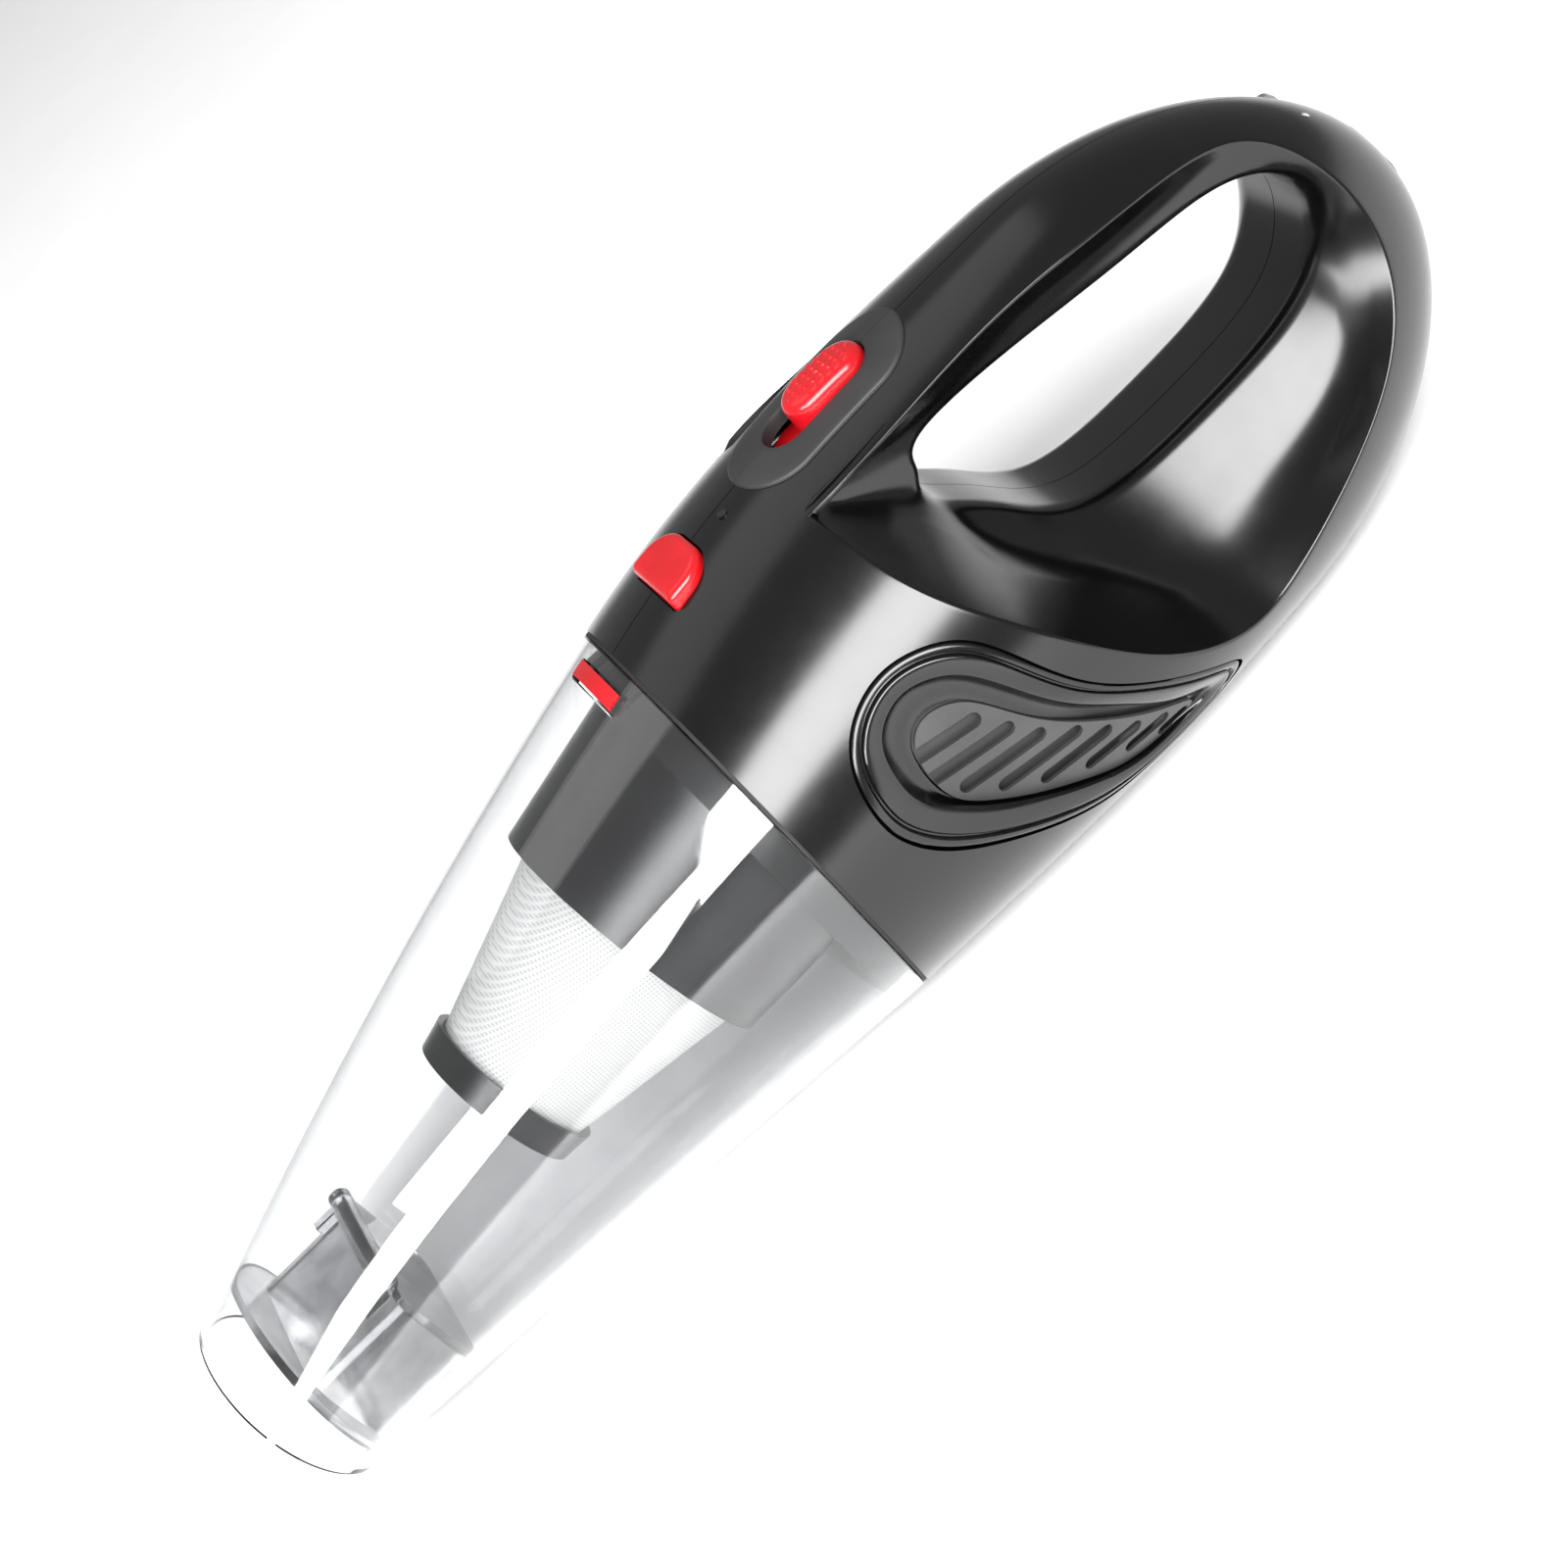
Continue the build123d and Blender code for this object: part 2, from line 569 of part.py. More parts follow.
def straight_ring(x0, x1, inset):
    """Solid of the seam's outline drawn in by inset, between two places along X."""
    half_width, half_height, middle = cup_section(0.0)
    rings = []
    for x in (x0, x1):
        rings.append(ring(x, half_width - inset, half_height - inset, middle))
    return Solid.make_loft(rings)


seal = straight_ring(SEAM_X - SEAL_THICKNESS, SEAM_X, SEAL_INSET)
nodes["cup_seal"] = seal - straight_ring(
    SEAM_X - SEAL_THICKNESS, SEAM_X, SEAL_INSET + SEAL_WIDTH
)
arm_top = SEAM_MIDDLE + SEAM_HALF_HEIGHT - CUP_WALL - LATCH_DROP
arm_bottom = arm_top - LATCH_THICKNESS
shelf_top = arm_bottom - BUTTON_TRAVEL - SPRING_PRESSED - SPRING_WIRE - 2 * SPRING_SEAT_GAP
latch_way = block(
    SEAM_X - 40, SEAM_X + BUTTON_FRONT + BUTTON_LENGTH + 4,
    -TOOTH_HALF_WIDTH - 1.0, TOOTH_HALF_WIDTH + 1.0, shelf_top + 1.0, CROWN + 9,
)
filter_rise = math.radians(FILTER_TILT)
filter_direction = (-math.cos(filter_rise), 0, -math.sin(filter_rise))


def filter_place(ahead):
    """Point on the filter's axis at a distance ahead of the seam."""
    return (
        SEAM_X - ahead * math.cos(filter_rise),
        0,
        FILTER_AXIS_HEIGHT - ahead * math.sin(filter_rise),
    )


def filter_cone(ahead0, radius0, ahead1, radius1):
    """Solid cone frustum along the filter's axis."""
    wires = []
    for ahead, radius in ((ahead0, radius0), (ahead1, radius1)):
        plane = Plane(origin=filter_place(ahead), z_dir=filter_direction)
        wires.append(Wire.make_circle(radius, plane))
    return Solid.make_loft(wires, ruled=True)


cup_taper = (SEAM_HALF_WIDTH - NOZZLE_HALF_WIDTH) * SPIGOT_LENGTH / CUP_LENGTH
spigot_inset = CUP_WALL + SLIDE_GAP + cup_taper + SPIGOT_PLAY
plate_front = SEAM_X + BULKHEAD_SET_BACK
plate_back = plate_front + BULKHEAD_THICKNESS
bulkhead = straight_ring(plate_front, plate_back, CASING_WALL + FIT_GAP)
spigot = straight_ring(SEAM_X - SPIGOT_LENGTH, plate_front, spigot_inset)
spigot = spigot - straight_ring(SEAM_X - SPIGOT_LENGTH, plate_front, spigot_inset + SPIGOT_WALL)
flange = straight_ring(SEAM_X, plate_front, SEAL_INSET + SEAL_WIDTH + FIT_GAP)
flange = flange - straight_ring(SEAM_X, plate_front, spigot_inset + SPIGOT_WALL)
neck_start = filter_place(-2.0)
neck = rod(neck_start, filter_direction, FILTER_NECK_RADIUS, FILTER_NECK_LENGTH + 2.0)
neck_bore = rod(filter_place(-14.0), filter_direction, FILTER_NECK_RADIUS - FILTER_NECK_WALL, 40)
neck = neck - block(plate_back, plate_back + 20, -80, 80, 0, 120)
bulkhead = bulkhead + spigot + flange + neck - neck_bore - latch_way
bulkhead = bulkhead - rod((SEAM_X - 20, 0, AXIS_HEIGHT), (1, 0, 0), FAN_EYE_RADIUS, 60)
spring_x = SEAM_X + BUTTON_FRONT + BUTTON_LENGTH / 2
shelf = block(
    plate_front + 1, spring_x + SPRING_RADIUS + 2, -SHELF_HALF_WIDTH, SHELF_HALF_WIDTH,
    shelf_top - SHELF_THICKNESS, shelf_top,
)
nodes["motor_bulkhead"] = bulkhead + shelf

# ---------------------------------------------------------------- filter
collar_start = 1.6
collar = filter_cone(collar_start, COLLAR_REAR_RADIUS, COLLAR_LENGTH, COLLAR_FRONT_RADIUS)
collar = collar - filter_cone(
    collar_start + COLLAR_WALL, COLLAR_REAR_RADIUS - COLLAR_WALL,
    COLLAR_LENGTH + 1, COLLAR_FRONT_RADIUS - COLLAR_WALL,
)
grip_radius = FILTER_NECK_RADIUS + SLIDE_GAP
collar = collar - rod(filter_place(-5), filter_direction, grip_radius, 20)
web_radius = COLLAR_FRONT_RADIUS - COLLAR_WALL + 0.3
web_start = COLLAR_LENGTH - COLLAR_WALL
front_web = filter_cone(web_start, web_radius, COLLAR_LENGTH, web_radius)
front_web = front_web - rod(filter_place(COLLAR_LENGTH - 5), filter_direction, CAGE_REAR_RADIUS, 12)
collar = collar + front_web
trim_behind = block(SEAM_X - 1.2, SEAM_X + 40, -100, 100, -20, 150)
nodes["filter_collar"] = collar - trim_behind

cage_end = COLLAR_LENGTH + CAGE_LENGTH
mesh_rear = CAGE_REAR_RADIUS - FIT_GAP
mesh_front = CAGE_FRONT_RADIUS - END_RING_WALL - FIT_GAP
mesh_outer = filter_cone(web_start, mesh_rear, cage_end, mesh_front)
mesh_inner = filter_cone(
    web_start - 1, mesh_rear - MESH_THICKNESS, cage_end + 1, mesh_front - MESH_THICKNESS
)
nodes["filter_mesh"] = mesh_outer - mesh_inner

rib_outer = MESH_THICKNESS + SHAFT_GAP
rib_inner = MESH_THICKNESS + CAGE_RIB_DEPTH
rib_body = filter_cone(web_start, mesh_rear - rib_outer, cage_end, mesh_front - rib_outer)
rib_core = filter_cone(
    web_start - 2, mesh_rear - rib_inner, cage_end + 2, mesh_front - rib_inner
)
rib_layer = rib_body - rib_core
axis_plane = Plane(origin=filter_place(COLLAR_LENGTH - 10), z_dir=filter_direction)
ribs = []
for index in range(CAGE_RIB_COUNT):
    bar = Pos(0, CAGE_REAR_RADIUS, CAGE_LENGTH / 2 + 10) * Box(
        CAGE_RIB_WIDTH, 2 * CAGE_REAR_RADIUS - 8, 2 * CAGE_LENGTH
    )
    bar = axis_plane.location * (Rot(0, 0, 360 * index / CAGE_RIB_COUNT) * bar)
    ribs.append(rib_layer & bar)
hoops = []
for ahead in (web_start, COLLAR_LENGTH + CAGE_LENGTH / 2 - 1, cage_end - HOOP_WIDTH):
    hoops.append(rib_layer & rod(filter_place(ahead), filter_direction, 60, HOOP_WIDTH))
cage = hoops[0]
for piece in hoops[1:] + ribs:
    cage = cage + piece
nodes["filter_cage"] = cage

# The end ring's bore follows the mesh's taper and is a little larger all the way
mesh_slope = (mesh_rear - mesh_front) / (cage_end - web_start)
ring_start = cage_end - END_RING_WIDTH + END_RING_LEAD
ring_bore_front = mesh_front + FIT_GAP + 0.3
ring_bore_back = ring_bore_front + (cage_end - ring_start) * mesh_slope
end_ring = filter_cone(
    ring_start, ring_bore_back + END_RING_WALL - 0.3, cage_end + END_RING_LEAD, CAGE_FRONT_RADIUS
)
end_ring = end_ring - filter_cone(ring_start - 0.1, ring_bore_back, cage_end, ring_bore_front)
disc_radius = CAGE_FRONT_RADIUS - END_RING_LIP
end_ring = end_ring - rod(filter_place(cage_end - 1), filter_direction, disc_radius, 8)
nodes["filter_end_ring"] = end_ring
nodes["filter_end_disc"] = rod(
    filter_place(cage_end + 0.6), filter_direction, disc_radius - FIT_GAP, END_DISC_THICKNESS
)

gasket = tube(
    filter_place(FILTER_NECK_LENGTH + 0.3), filter_direction,
    FILTER_NECK_RADIUS + GASKET_HALF_WIDTH, FILTER_NECK_RADIUS - GASKET_HALF_WIDTH,
    GASKET_THICKNESS,
)
gasket_seat = tube(
    filter_place(FILTER_NECK_LENGTH - 1.0), filter_direction,
    COLLAR_REAR_RADIUS - 2.5, FILTER_NECK_RADIUS + GASKET_HALF_WIDTH + FIT_GAP,
    2.0 + GASKET_THICKNESS,
)
gasket_stop = tube(
    filter_place(FILTER_NECK_LENGTH + 0.3 + GASKET_THICKNESS), filter_direction,
    COLLAR_REAR_RADIUS - 2.5, FILTER_NECK_RADIUS - GASKET_HALF_WIDTH, 1.5,
)
nodes["filter_gasket"] = gasket
nodes["filter_collar"] = nodes["filter_collar"] + gasket_seat + gasket_stop

# ---------------------------------------------------------------- nozzle duct and flap
duct_x = SEAM_X - DUCT_FRONT


def duct_face(width, height, corner):
    return Plane((duct_x, 0, DUCT_MIDDLE), x_dir=(0, 1, 0), z_dir=(1, 0, 0)) * RectangleRounded(
        width, height, corner
    )


duct = extrude(duct_face(DUCT_WIDTH, DUCT_HEIGHT, DUCT_CORNER), amount=DUCT_LENGTH)
duct_way = extrude(
    duct_face(DUCT_WIDTH - 2 * DUCT_WALL, DUCT_HEIGHT - 2 * DUCT_WALL, DUCT_CORNER - DUCT_WALL),
    amount=DUCT_LENGTH + 20,
)
duct_way = Pos(-5, 0, 0) * duct_way
cup_room = cup_form(CUP_WALL + FIT_GAP, front=1.12, rear=-0.04)
flange_plate = cup_room & block(duct_x, duct_x + DUCT_FLANGE, -80, 80, 0, 120)
pin_x = duct_x + DUCT_LENGTH + FLAP_THICKNESS / 2 + SLIDE_GAP
pin_z = DUCT_MIDDLE + DUCT_HEIGHT / 2 + FLAP_PIN_RADIUS + 1.3
ear_radius = FLAP_PIN_RADIUS + EAR_WALL
duct_body = duct + flange_plate - duct_way
ear_gap = DUCT_WIDTH / 2 - DUCT_CORNER
for side in (-1, 1):
    y0 = side * (ear_gap + FLAP_EAR / 2) - FLAP_EAR / 2
    ear = rod((pin_x, y0, pin_z), (0, 1, 0), ear_radius, FLAP_EAR)
    foot = block(pin_x - 8, pin_x, y0, y0 + FLAP_EAR, DUCT_MIDDLE + DUCT_HEIGHT / 2 - 0.5, pin_z)
    foot = foot - block(duct_x + DUCT_LENGTH, pin_x + 9, -80, 80, 0, pin_z - ear_radius)
    duct_body = duct_body + ear + foot
pin_hole = rod((pin_x, -40, pin_z), (0, 1, 0), FLAP_PIN_RADIUS, 80)
nodes["intake_duct"] = duct_body - pin_hole
nodes["flap_pin"] = rod(
    (pin_x, -ear_gap - FLAP_EAR, pin_z), (0, 1, 0), FLAP_PIN_RADIUS, 2 * (ear_gap + FLAP_EAR)
)
flap_face = duct_face(DUCT_WIDTH, DUCT_HEIGHT + 2 * FLAP_OVERLAP, DUCT_CORNER)
flap = Pos(DUCT_LENGTH + SLIDE_GAP, 0, FLAP_OVERLAP) * extrude(flap_face, amount=FLAP_THICKNESS)
knuckle = rod((pin_x, -ear_gap + SLIDE_GAP, pin_z), (0, 1, 0), ear_radius, 2 * (ear_gap - SLIDE_GAP))
flap = flap - block(pin_x - 9, pin_x + 9, -80, 80, pin_z - ear_radius - SLIDE_GAP, pin_z + 9)
web = block(
    pin_x - FLAP_THICKNESS / 2, pin_x + FLAP_THICKNESS / 2,
    -ear_gap + SLIDE_GAP, ear_gap - SLIDE_GAP, pin_z - ear_radius - 2, pin_z,
)
knuckle_bore = rod((pin_x, -40, pin_z), (0, 1, 0), FLAP_PIN_RADIUS + SHAFT_GAP, 80)
nodes["intake_flap"] = flap + web + knuckle - knuckle_bore

# ---------------------------------------------------------------- release button and latch
button = extrude(Plane((button_x, 0, arm_top)) * button_outline(0), amount=button_top - arm_top)
button = fillet(button.faces().sort_by(Axis.Z)[-1].edges(), BUTTON_EDGE)
flange_top = casing_top(BUTTON_FRONT) - CASING_WALL - 2.2
stop = block(
    button_x - BUTTON_STOP, button_x + BUTTON_LENGTH + BUTTON_STOP,
    -BUTTON_HALF_WIDTH - BUTTON_STOP, BUTTON_HALF_WIDTH + BUTTON_STOP,
    flange_top - BUTTON_STOP_THICKNESS, flange_top,
)
nodes["release_button"] = button + stop
arm = block(
    tooth_x, button_x + BUTTON_LENGTH, -LATCH_HALF_WIDTH, LATCH_HALF_WIDTH, arm_bottom, arm_top
)
tooth = block(
    tooth_x, tooth_x + TOOTH_LENGTH, -TOOTH_HALF_WIDTH, TOOTH_HALF_WIDTH, arm_bottom, CROWN
)
nodes["latch_arm"] = arm + (tooth & cup_form(-0.4))

spring_height = arm_bottom - shelf_top - SPRING_WIRE - 2 * SPRING_SEAT_GAP
spring_path = Helix(
    pitch=spring_height / SPRING_TURNS, height=spring_height, radius=SPRING_RADIUS,
    center=(spring_x, 0, shelf_top + SPRING_WIRE / 2 + SPRING_SEAT_GAP),
)
spring_start = Plane(origin=spring_path @ 0, z_dir=spring_path % 0)
nodes["latch_spring"] = sweep(spring_start * Circle(SPRING_WIRE / 2), path=spring_path)

# ---------------------------------------------------------------- switch
cap_rear = SLOT_FRONT + SLOT_LENGTH - SLIDE_GAP
cap_middle = cap_rear - CAP_LENGTH / 2
cap_top = casing_top(cap_middle) + CAP_PROUD
plate_length = CAP_LENGTH + 2 * (SWITCH_TRAVEL + 2)
plate_z = ceiling - SLIDER_PLATE
cap = obround(CAP_LENGTH, CAP_WIDTH, SEAM_X + cap_middle, 0, plate_z, cap_top)
cap = fillet(cap.faces().sort_by(Axis.Z)[-1].edges(), CAP_EDGE)
slider_plate = obround(
    plate_length, SLOT_WIDTH + 2 * SLIDER_MARGIN, SEAM_X + cap_middle, 0, plate_z, ceiling
)
nodes["switch_slider"] = cap + slider_plate
switch_length, switch_width, switch_height = SWITCH_BODY
switch_top = plate_z - SLIDE_GAP
switch_front = SEAM_X + cap_middle - switch_length / 2
switch_block = block(
    switch_front, switch_front + switch_length, -switch_width / 2, switch_width / 2,
    switch_top - switch_height, switch_top,
)
nodes["slide_switch"] = switch_block

# ---------------------------------------------------------------- fan and motor
fan_x = SEAM_X + FAN_BACK
nodes["front_mount_ring"] = tube(
    (plate_back, 0, AXIS_HEIGHT), (1, 0, 0), FAN_EYE_RADIUS + FRONT_RING_OUTER,
    FAN_EYE_RADIUS + FRONT_RING_INNER, fan_x - plate_back,
)
fan_shell = rod((fan_x, 0, AXIS_HEIGHT), (1, 0, 0), FAN_RADIUS, FAN_WIDTH)
fan_room = rod((fan_x + FAN_WALL, 0, AXIS_HEIGHT), (1, 0, 0), FAN_RADIUS - FAN_WALL, FAN_WIDTH)
fan_eye = rod((fan_x - 1, 0, AXIS_HEIGHT), (1, 0, 0), FAN_EYE_RADIUS, FAN_WIDTH)
fan_housing = fan_shell - fan_room - fan_eye
for index in range(FAN_WINDOW_COUNT):
    window = block(
        fan_x + FAN_WALL + FAN_WINDOW_RIM, fan_x + FAN_WIDTH - FAN_WALL - FAN_WINDOW_RIM,
        -FAN_WINDOW_HALF_WIDTH, FAN_WINDOW_HALF_WIDTH, FAN_RADIUS - 5, FAN_RADIUS + 5,
    )
    turn = Pos(0, 0, AXIS_HEIGHT) * Rot(360 * index / FAN_WINDOW_COUNT, 0, 0)
    fan_housing = fan_housing - turn * window
nodes["fan_housing"] = fan_housing
lid_x = fan_x + FAN_WIDTH - FAN_WALL
lid = tube(
    (lid_x, 0, AXIS_HEIGHT), (1, 0, 0), FAN_RADIUS - FAN_WALL - FIT_GAP, FAN_HUB_HOLE, FAN_WALL
)
nodes["fan_lid"] = lid
impeller_radius = FAN_RADIUS - FAN_WALL - IMPELLER_GAP
disc_x = lid_x - IMPELLER_GAP
impeller = rod((disc_x, 0, AXIS_HEIGHT), (-1, 0, 0), impeller_radius, IMPELLER_DISC)
hub_length = disc_x - fan_x - FAN_WALL - 0.8
impeller = impeller + rod((disc_x, 0, AXIS_HEIGHT), (-1, 0, 0), HUB_RADIUS, hub_length)
for index in range(BLADE_COUNT):
    blade = block(
        disc_x - hub_length + 0.6, disc_x - IMPELLER_DISC / 2, 0, BLADE_THICKNESS,
        HUB_RADIUS - 1, impeller_radius - 0.4,
    )
    turn = Pos(0, 0, AXIS_HEIGHT) * Rot(360 * index / BLADE_COUNT, 0, 0)
    impeller = impeller + turn * blade
shaft_hole = rod((fan_x - 20, 0, AXIS_HEIGHT), (1, 0, 0), SHAFT_RADIUS, 90)
nodes["impeller"] = impeller - shaft_hole
motor_x = fan_x + FAN_WIDTH + MOTOR_GAP
motor_end = motor_x + MOTOR_LENGTH
can = rod((motor_x, 0, AXIS_HEIGHT), (1, 0, 0), MOTOR_RADIUS, MOTOR_LENGTH)
can = can - rod(
    (motor_x + CAN_FACE, 0, AXIS_HEIGHT), (1, 0, 0), MOTOR_RADIUS - CAN_WALL, MOTOR_LENGTH
)
bearing = rod((motor_x - 0.3, 0, AXIS_HEIGHT), (1, 0, 0), BEARING_RADIUS, BEARING_LENGTH)
running_hole = rod((motor_x - 20, 0, AXIS_HEIGHT), (1, 0, 0), SHAFT_RADIUS + SHAFT_GAP, 90)
nodes["motor_can"] = can + bearing - running_hole
end_cap = rod((motor_end, 0, AXIS_HEIGHT), (1, 0, 0), MOTOR_RADIUS, MOTOR_CAP_LENGTH)
end_cap = end_cap - rod((motor_end - 1, 0, AXIS_HEIGHT), (1, 0, 0), SHAFT_RADIUS + SHAFT_GAP, 3.5)
nodes["motor_end_cap"] = end_cap
winding = rod(
    (motor_x + WINDING_MARGIN + 1, 0, AXIS_HEIGHT), (1, 0, 0), MOTOR_RADIUS - WINDING_GAP,
    MOTOR_LENGTH - 2 * WINDING_MARGIN,
)
nodes["motor_rotor"] = winding - shaft_hole
shaft_front = disc_x - hub_length + 0.2
nodes["motor_shaft"] = rod(
    (shaft_front, 0, AXIS_HEIGHT), (1, 0, 0), SHAFT_RADIUS, motor_end + 2 - shaft_front
)
nodes["rear_mount_ring"] = tube(
    (motor_end - MOUNT_RING_BACK, 0, AXIS_HEIGHT), (1, 0, 0), MOTOR_RADIUS + MOUNT_RING_WALL,
    MOTOR_RADIUS, MOUNT_RING_WIDTH,
)

# ---------------------------------------------------------------- battery
cell_x = motor_end + MOTOR_CAP_LENGTH + CELLS_BEHIND_MOTOR
cell_end = cell_x + CELL_LENGTH
rear_section = casing_section((cell_end - SEAM_X) / FORM_LENGTH)
inside_floor = max(0.0, rear_section[2] - rear_section[1]) + CASING_WALL
low_y = CELL_RADIUS + CELL_GAP / 2
# The lower cells stand off the floor, and off the casing's curved sides where those come closer
contact = CELL_RADIUS * math.sqrt(0.5)
side_share = (low_y + contact) / (rear_section[0] - CASING_WALL)
side_drop = (rear_section[1] - CASING_WALL) * math.sqrt(max(0.0, 1 - side_share ** 2))
side_floor = rear_section[2] - side_drop
low_z = max(inside_floor + CELL_LIFT + CELL_RADIUS, side_floor + contact + CELL_SIDE_GAP)
high_z = low_z + math.sqrt((2 * CELL_RADIUS + CELL_GAP) ** 2 - low_y ** 2)
cell_places = [(-low_y, low_z), (low_y, low_z), (0, high_z)]
cells = []
for y, z in cell_places:
    cells.append(rod((cell_x, y, z), (1, 0, 0), CELL_RADIUS, CELL_LENGTH))
nodes["battery_cells"] = Compound(children=cells)
tray = block(
    cell_x - TRAY_END_WALL, cell_end + TRAY_END_WALL,
    -low_y - TRAY_MARGIN, low_y + TRAY_MARGIN, CASING_WALL + FIT_GAP, low_z - 2,
)
tray = tray & casing_form(CASING_WALL + FIT_GAP)
for y, z in cell_places[:2]:
    tray = tray - rod((cell_x - 0.2, y, z), (1, 0, 0), CELL_RADIUS + FIT_GAP, CELL_LENGTH + 0.4)
nodes["battery_tray"] = tray
straps = []
for x in (cell_x - STRAP_THICKNESS, cell_end):
    straps.append(block(
        x, x + STRAP_THICKNESS, -STRAP_HALF_WIDTH, STRAP_HALF_WIDTH, low_z - 1, high_z + 4
    ))
nodes["cell_straps"] = Compound(children=straps)

# ---------------------------------------------------------------- charging socket, board, light
jack_face = tail_x - JACK_SINK
jack_back = jack_face - JACK_DEPTH - JACK_BACK_WALL
jack = rod((jack_face, 0, tail_height), (-1, 0, 0), JACK_RADIUS, JACK_DEPTH + JACK_BACK_WALL)
jack = jack - rod((jack_face + 1, 0, tail_height), (-1, 0, 0), JACK_BORE_RADIUS, JACK_DEPTH + 1)
jack = jack + rod(
    (jack_back, 0, tail_height), (-1, 0, 0), JACK_RADIUS - 0.6,
    JACK_LENGTH - JACK_DEPTH - JACK_BACK_WALL,
)
jack = jack + rod((jack_back + 1, 0, tail_height), (1, 0, 0), JACK_PIN_RADIUS, JACK_DEPTH - 2)
nodes["charge_socket"] = jack
board_length, board_width, board_thickness = BOARD
board_z = AXIS_HEIGHT + MOTOR_RADIUS + BOARD_ABOVE_MOTOR
board_top = board_z + board_thickness
board_x = SEAM_X + LIGHT_BACK - board_length / 2
board = block(
    board_x, board_x + board_length, -board_width / 2, board_width / 2, board_z, board_top
)
for along, across, size, height in BOARD_BLOCKS:
    part_x = SEAM_X + LIGHT_BACK + along
    board = board + block(
        part_x - size / 2, part_x + size / 2, across - size / 2, across + size / 2,
        board_top, board_top + height,
    )
nodes["charging_board"] = board
light_base = board_top + 0.2
nodes["charge_light"] = rod(
    (SEAM_X + LIGHT_BACK, LIGHT_SIDE, light_base), (0, 0, 1), LIGHT_RADIUS, light_top + 0.2 - light_base
)

# ---------------------------------------------------------------- leads
def lead(points, radius=2.5):
    """Insulated wire along straight runs joined by arcs."""
    path = FilletPolyline(*points, radius=radius)
    start = Plane(origin=path @ 0, z_dir=path % 0)
    return sweep(start * Circle(LEAD_RADIUS), path=path)


lead_x = SEAM_X + DISH_FRONT + 0.124 * DISH_LENGTH
motor_back = motor_end + MOTOR_CAP_LENGTH
drop_x = motor_back + LEAD_DROP_BACK
motor_top = AXIS_HEIGHT + MOTOR_RADIUS
switch_bottom = switch_top - switch_height
nodes["switch_lead"] = lead([
    (lead_x, -LEAD_SPREAD, switch_bottom - LEAD_STAND_OFF),
    (lead_x, -LEAD_SPREAD, motor_top + 10),
    (drop_x, -LEAD_SPREAD, motor_top - 1),
    (drop_x, -LEAD_SPREAD, AXIS_HEIGHT + 6),
    (motor_back + LEAD_STAND_OFF, -LEAD_SPREAD, AXIS_HEIGHT + 3),
])
nodes["red_lead"] = lead([
    (lead_x, LEAD_SPREAD, switch_bottom - LEAD_STAND_OFF),
    (lead_x, LEAD_SPREAD, motor_top + 10),
    (drop_x, LEAD_SPREAD, motor_top - 1),
    (drop_x, LEAD_SPREAD, high_z + 8),
    (cell_x - STRAP_THICKNESS - LEAD_STAND_OFF, LEAD_SPREAD, high_z + 2),
])
nodes["black_lead"] = lead([
    (motor_back + LEAD_STAND_OFF, -8, AXIS_HEIGHT - 4),
    (drop_x, -8, AXIS_HEIGHT - 8),
    (drop_x, -8, low_z + 4),
    (cell_x - LEAD_STAND_OFF, -8, low_z + 1),
])
nodes["charge_lead"] = lead([
    (jack_face - JACK_LENGTH - LEAD_STAND_OFF, 0, tail_height),
    (jack_face - JACK_LENGTH - 6, 0, tail_height - 4),
    (cell_end + 16, 0, high_z + 10),
    (cell_end + STRAP_THICKNESS + LEAD_STAND_OFF, 0, high_z),
], radius=6)

for name, shape in nodes.items():
    export_step(shape, f"parts/{name}.step")
    print(name, round(shape.volume, 1))
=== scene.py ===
# %% [markdown]
# # A cordless handheld vacuum
# The CAD model already holds every piece at its true size and place. This file loads it as a
# fixed frame, then gives it its looks: smooth moulded skins made from formulas, materials, a
# camera and studio light. Lengths inside the formulas are in millimetres, as on a drawing.

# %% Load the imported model
import json
import math
import bmesh
import bpy
import numpy as np
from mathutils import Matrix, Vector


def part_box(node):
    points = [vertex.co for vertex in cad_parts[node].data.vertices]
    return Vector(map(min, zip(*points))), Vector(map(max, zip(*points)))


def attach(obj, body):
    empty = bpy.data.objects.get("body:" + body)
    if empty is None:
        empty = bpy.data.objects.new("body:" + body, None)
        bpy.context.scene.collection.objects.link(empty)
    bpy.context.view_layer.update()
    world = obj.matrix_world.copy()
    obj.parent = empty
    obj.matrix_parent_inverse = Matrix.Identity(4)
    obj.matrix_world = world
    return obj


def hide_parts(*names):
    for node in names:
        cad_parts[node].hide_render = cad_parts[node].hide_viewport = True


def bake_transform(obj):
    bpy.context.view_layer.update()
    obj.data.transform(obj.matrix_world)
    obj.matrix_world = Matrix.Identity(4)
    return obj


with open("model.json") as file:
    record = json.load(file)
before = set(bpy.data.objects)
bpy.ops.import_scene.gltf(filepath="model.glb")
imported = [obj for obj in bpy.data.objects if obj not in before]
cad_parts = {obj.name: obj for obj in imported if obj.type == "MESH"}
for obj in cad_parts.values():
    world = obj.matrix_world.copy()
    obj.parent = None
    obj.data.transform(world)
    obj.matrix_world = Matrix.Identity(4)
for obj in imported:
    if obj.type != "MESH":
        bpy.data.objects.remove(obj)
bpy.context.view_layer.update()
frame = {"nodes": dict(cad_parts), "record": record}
MM = 0.001

# %% [markdown]
# ## Sizes read from the frame
# Every place starts from a CAD piece's box, so the skins stay in step with the model: the seam
# is where the casing starts, and the nozzle's lip is where the clear cup ends.

# %% Sizes from the frame


def box_mm(node):
    """Lowest and highest corner of a CAD node, in millimetres."""
    low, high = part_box(node)
    return np.array(low) / MM, np.array(high) / MM


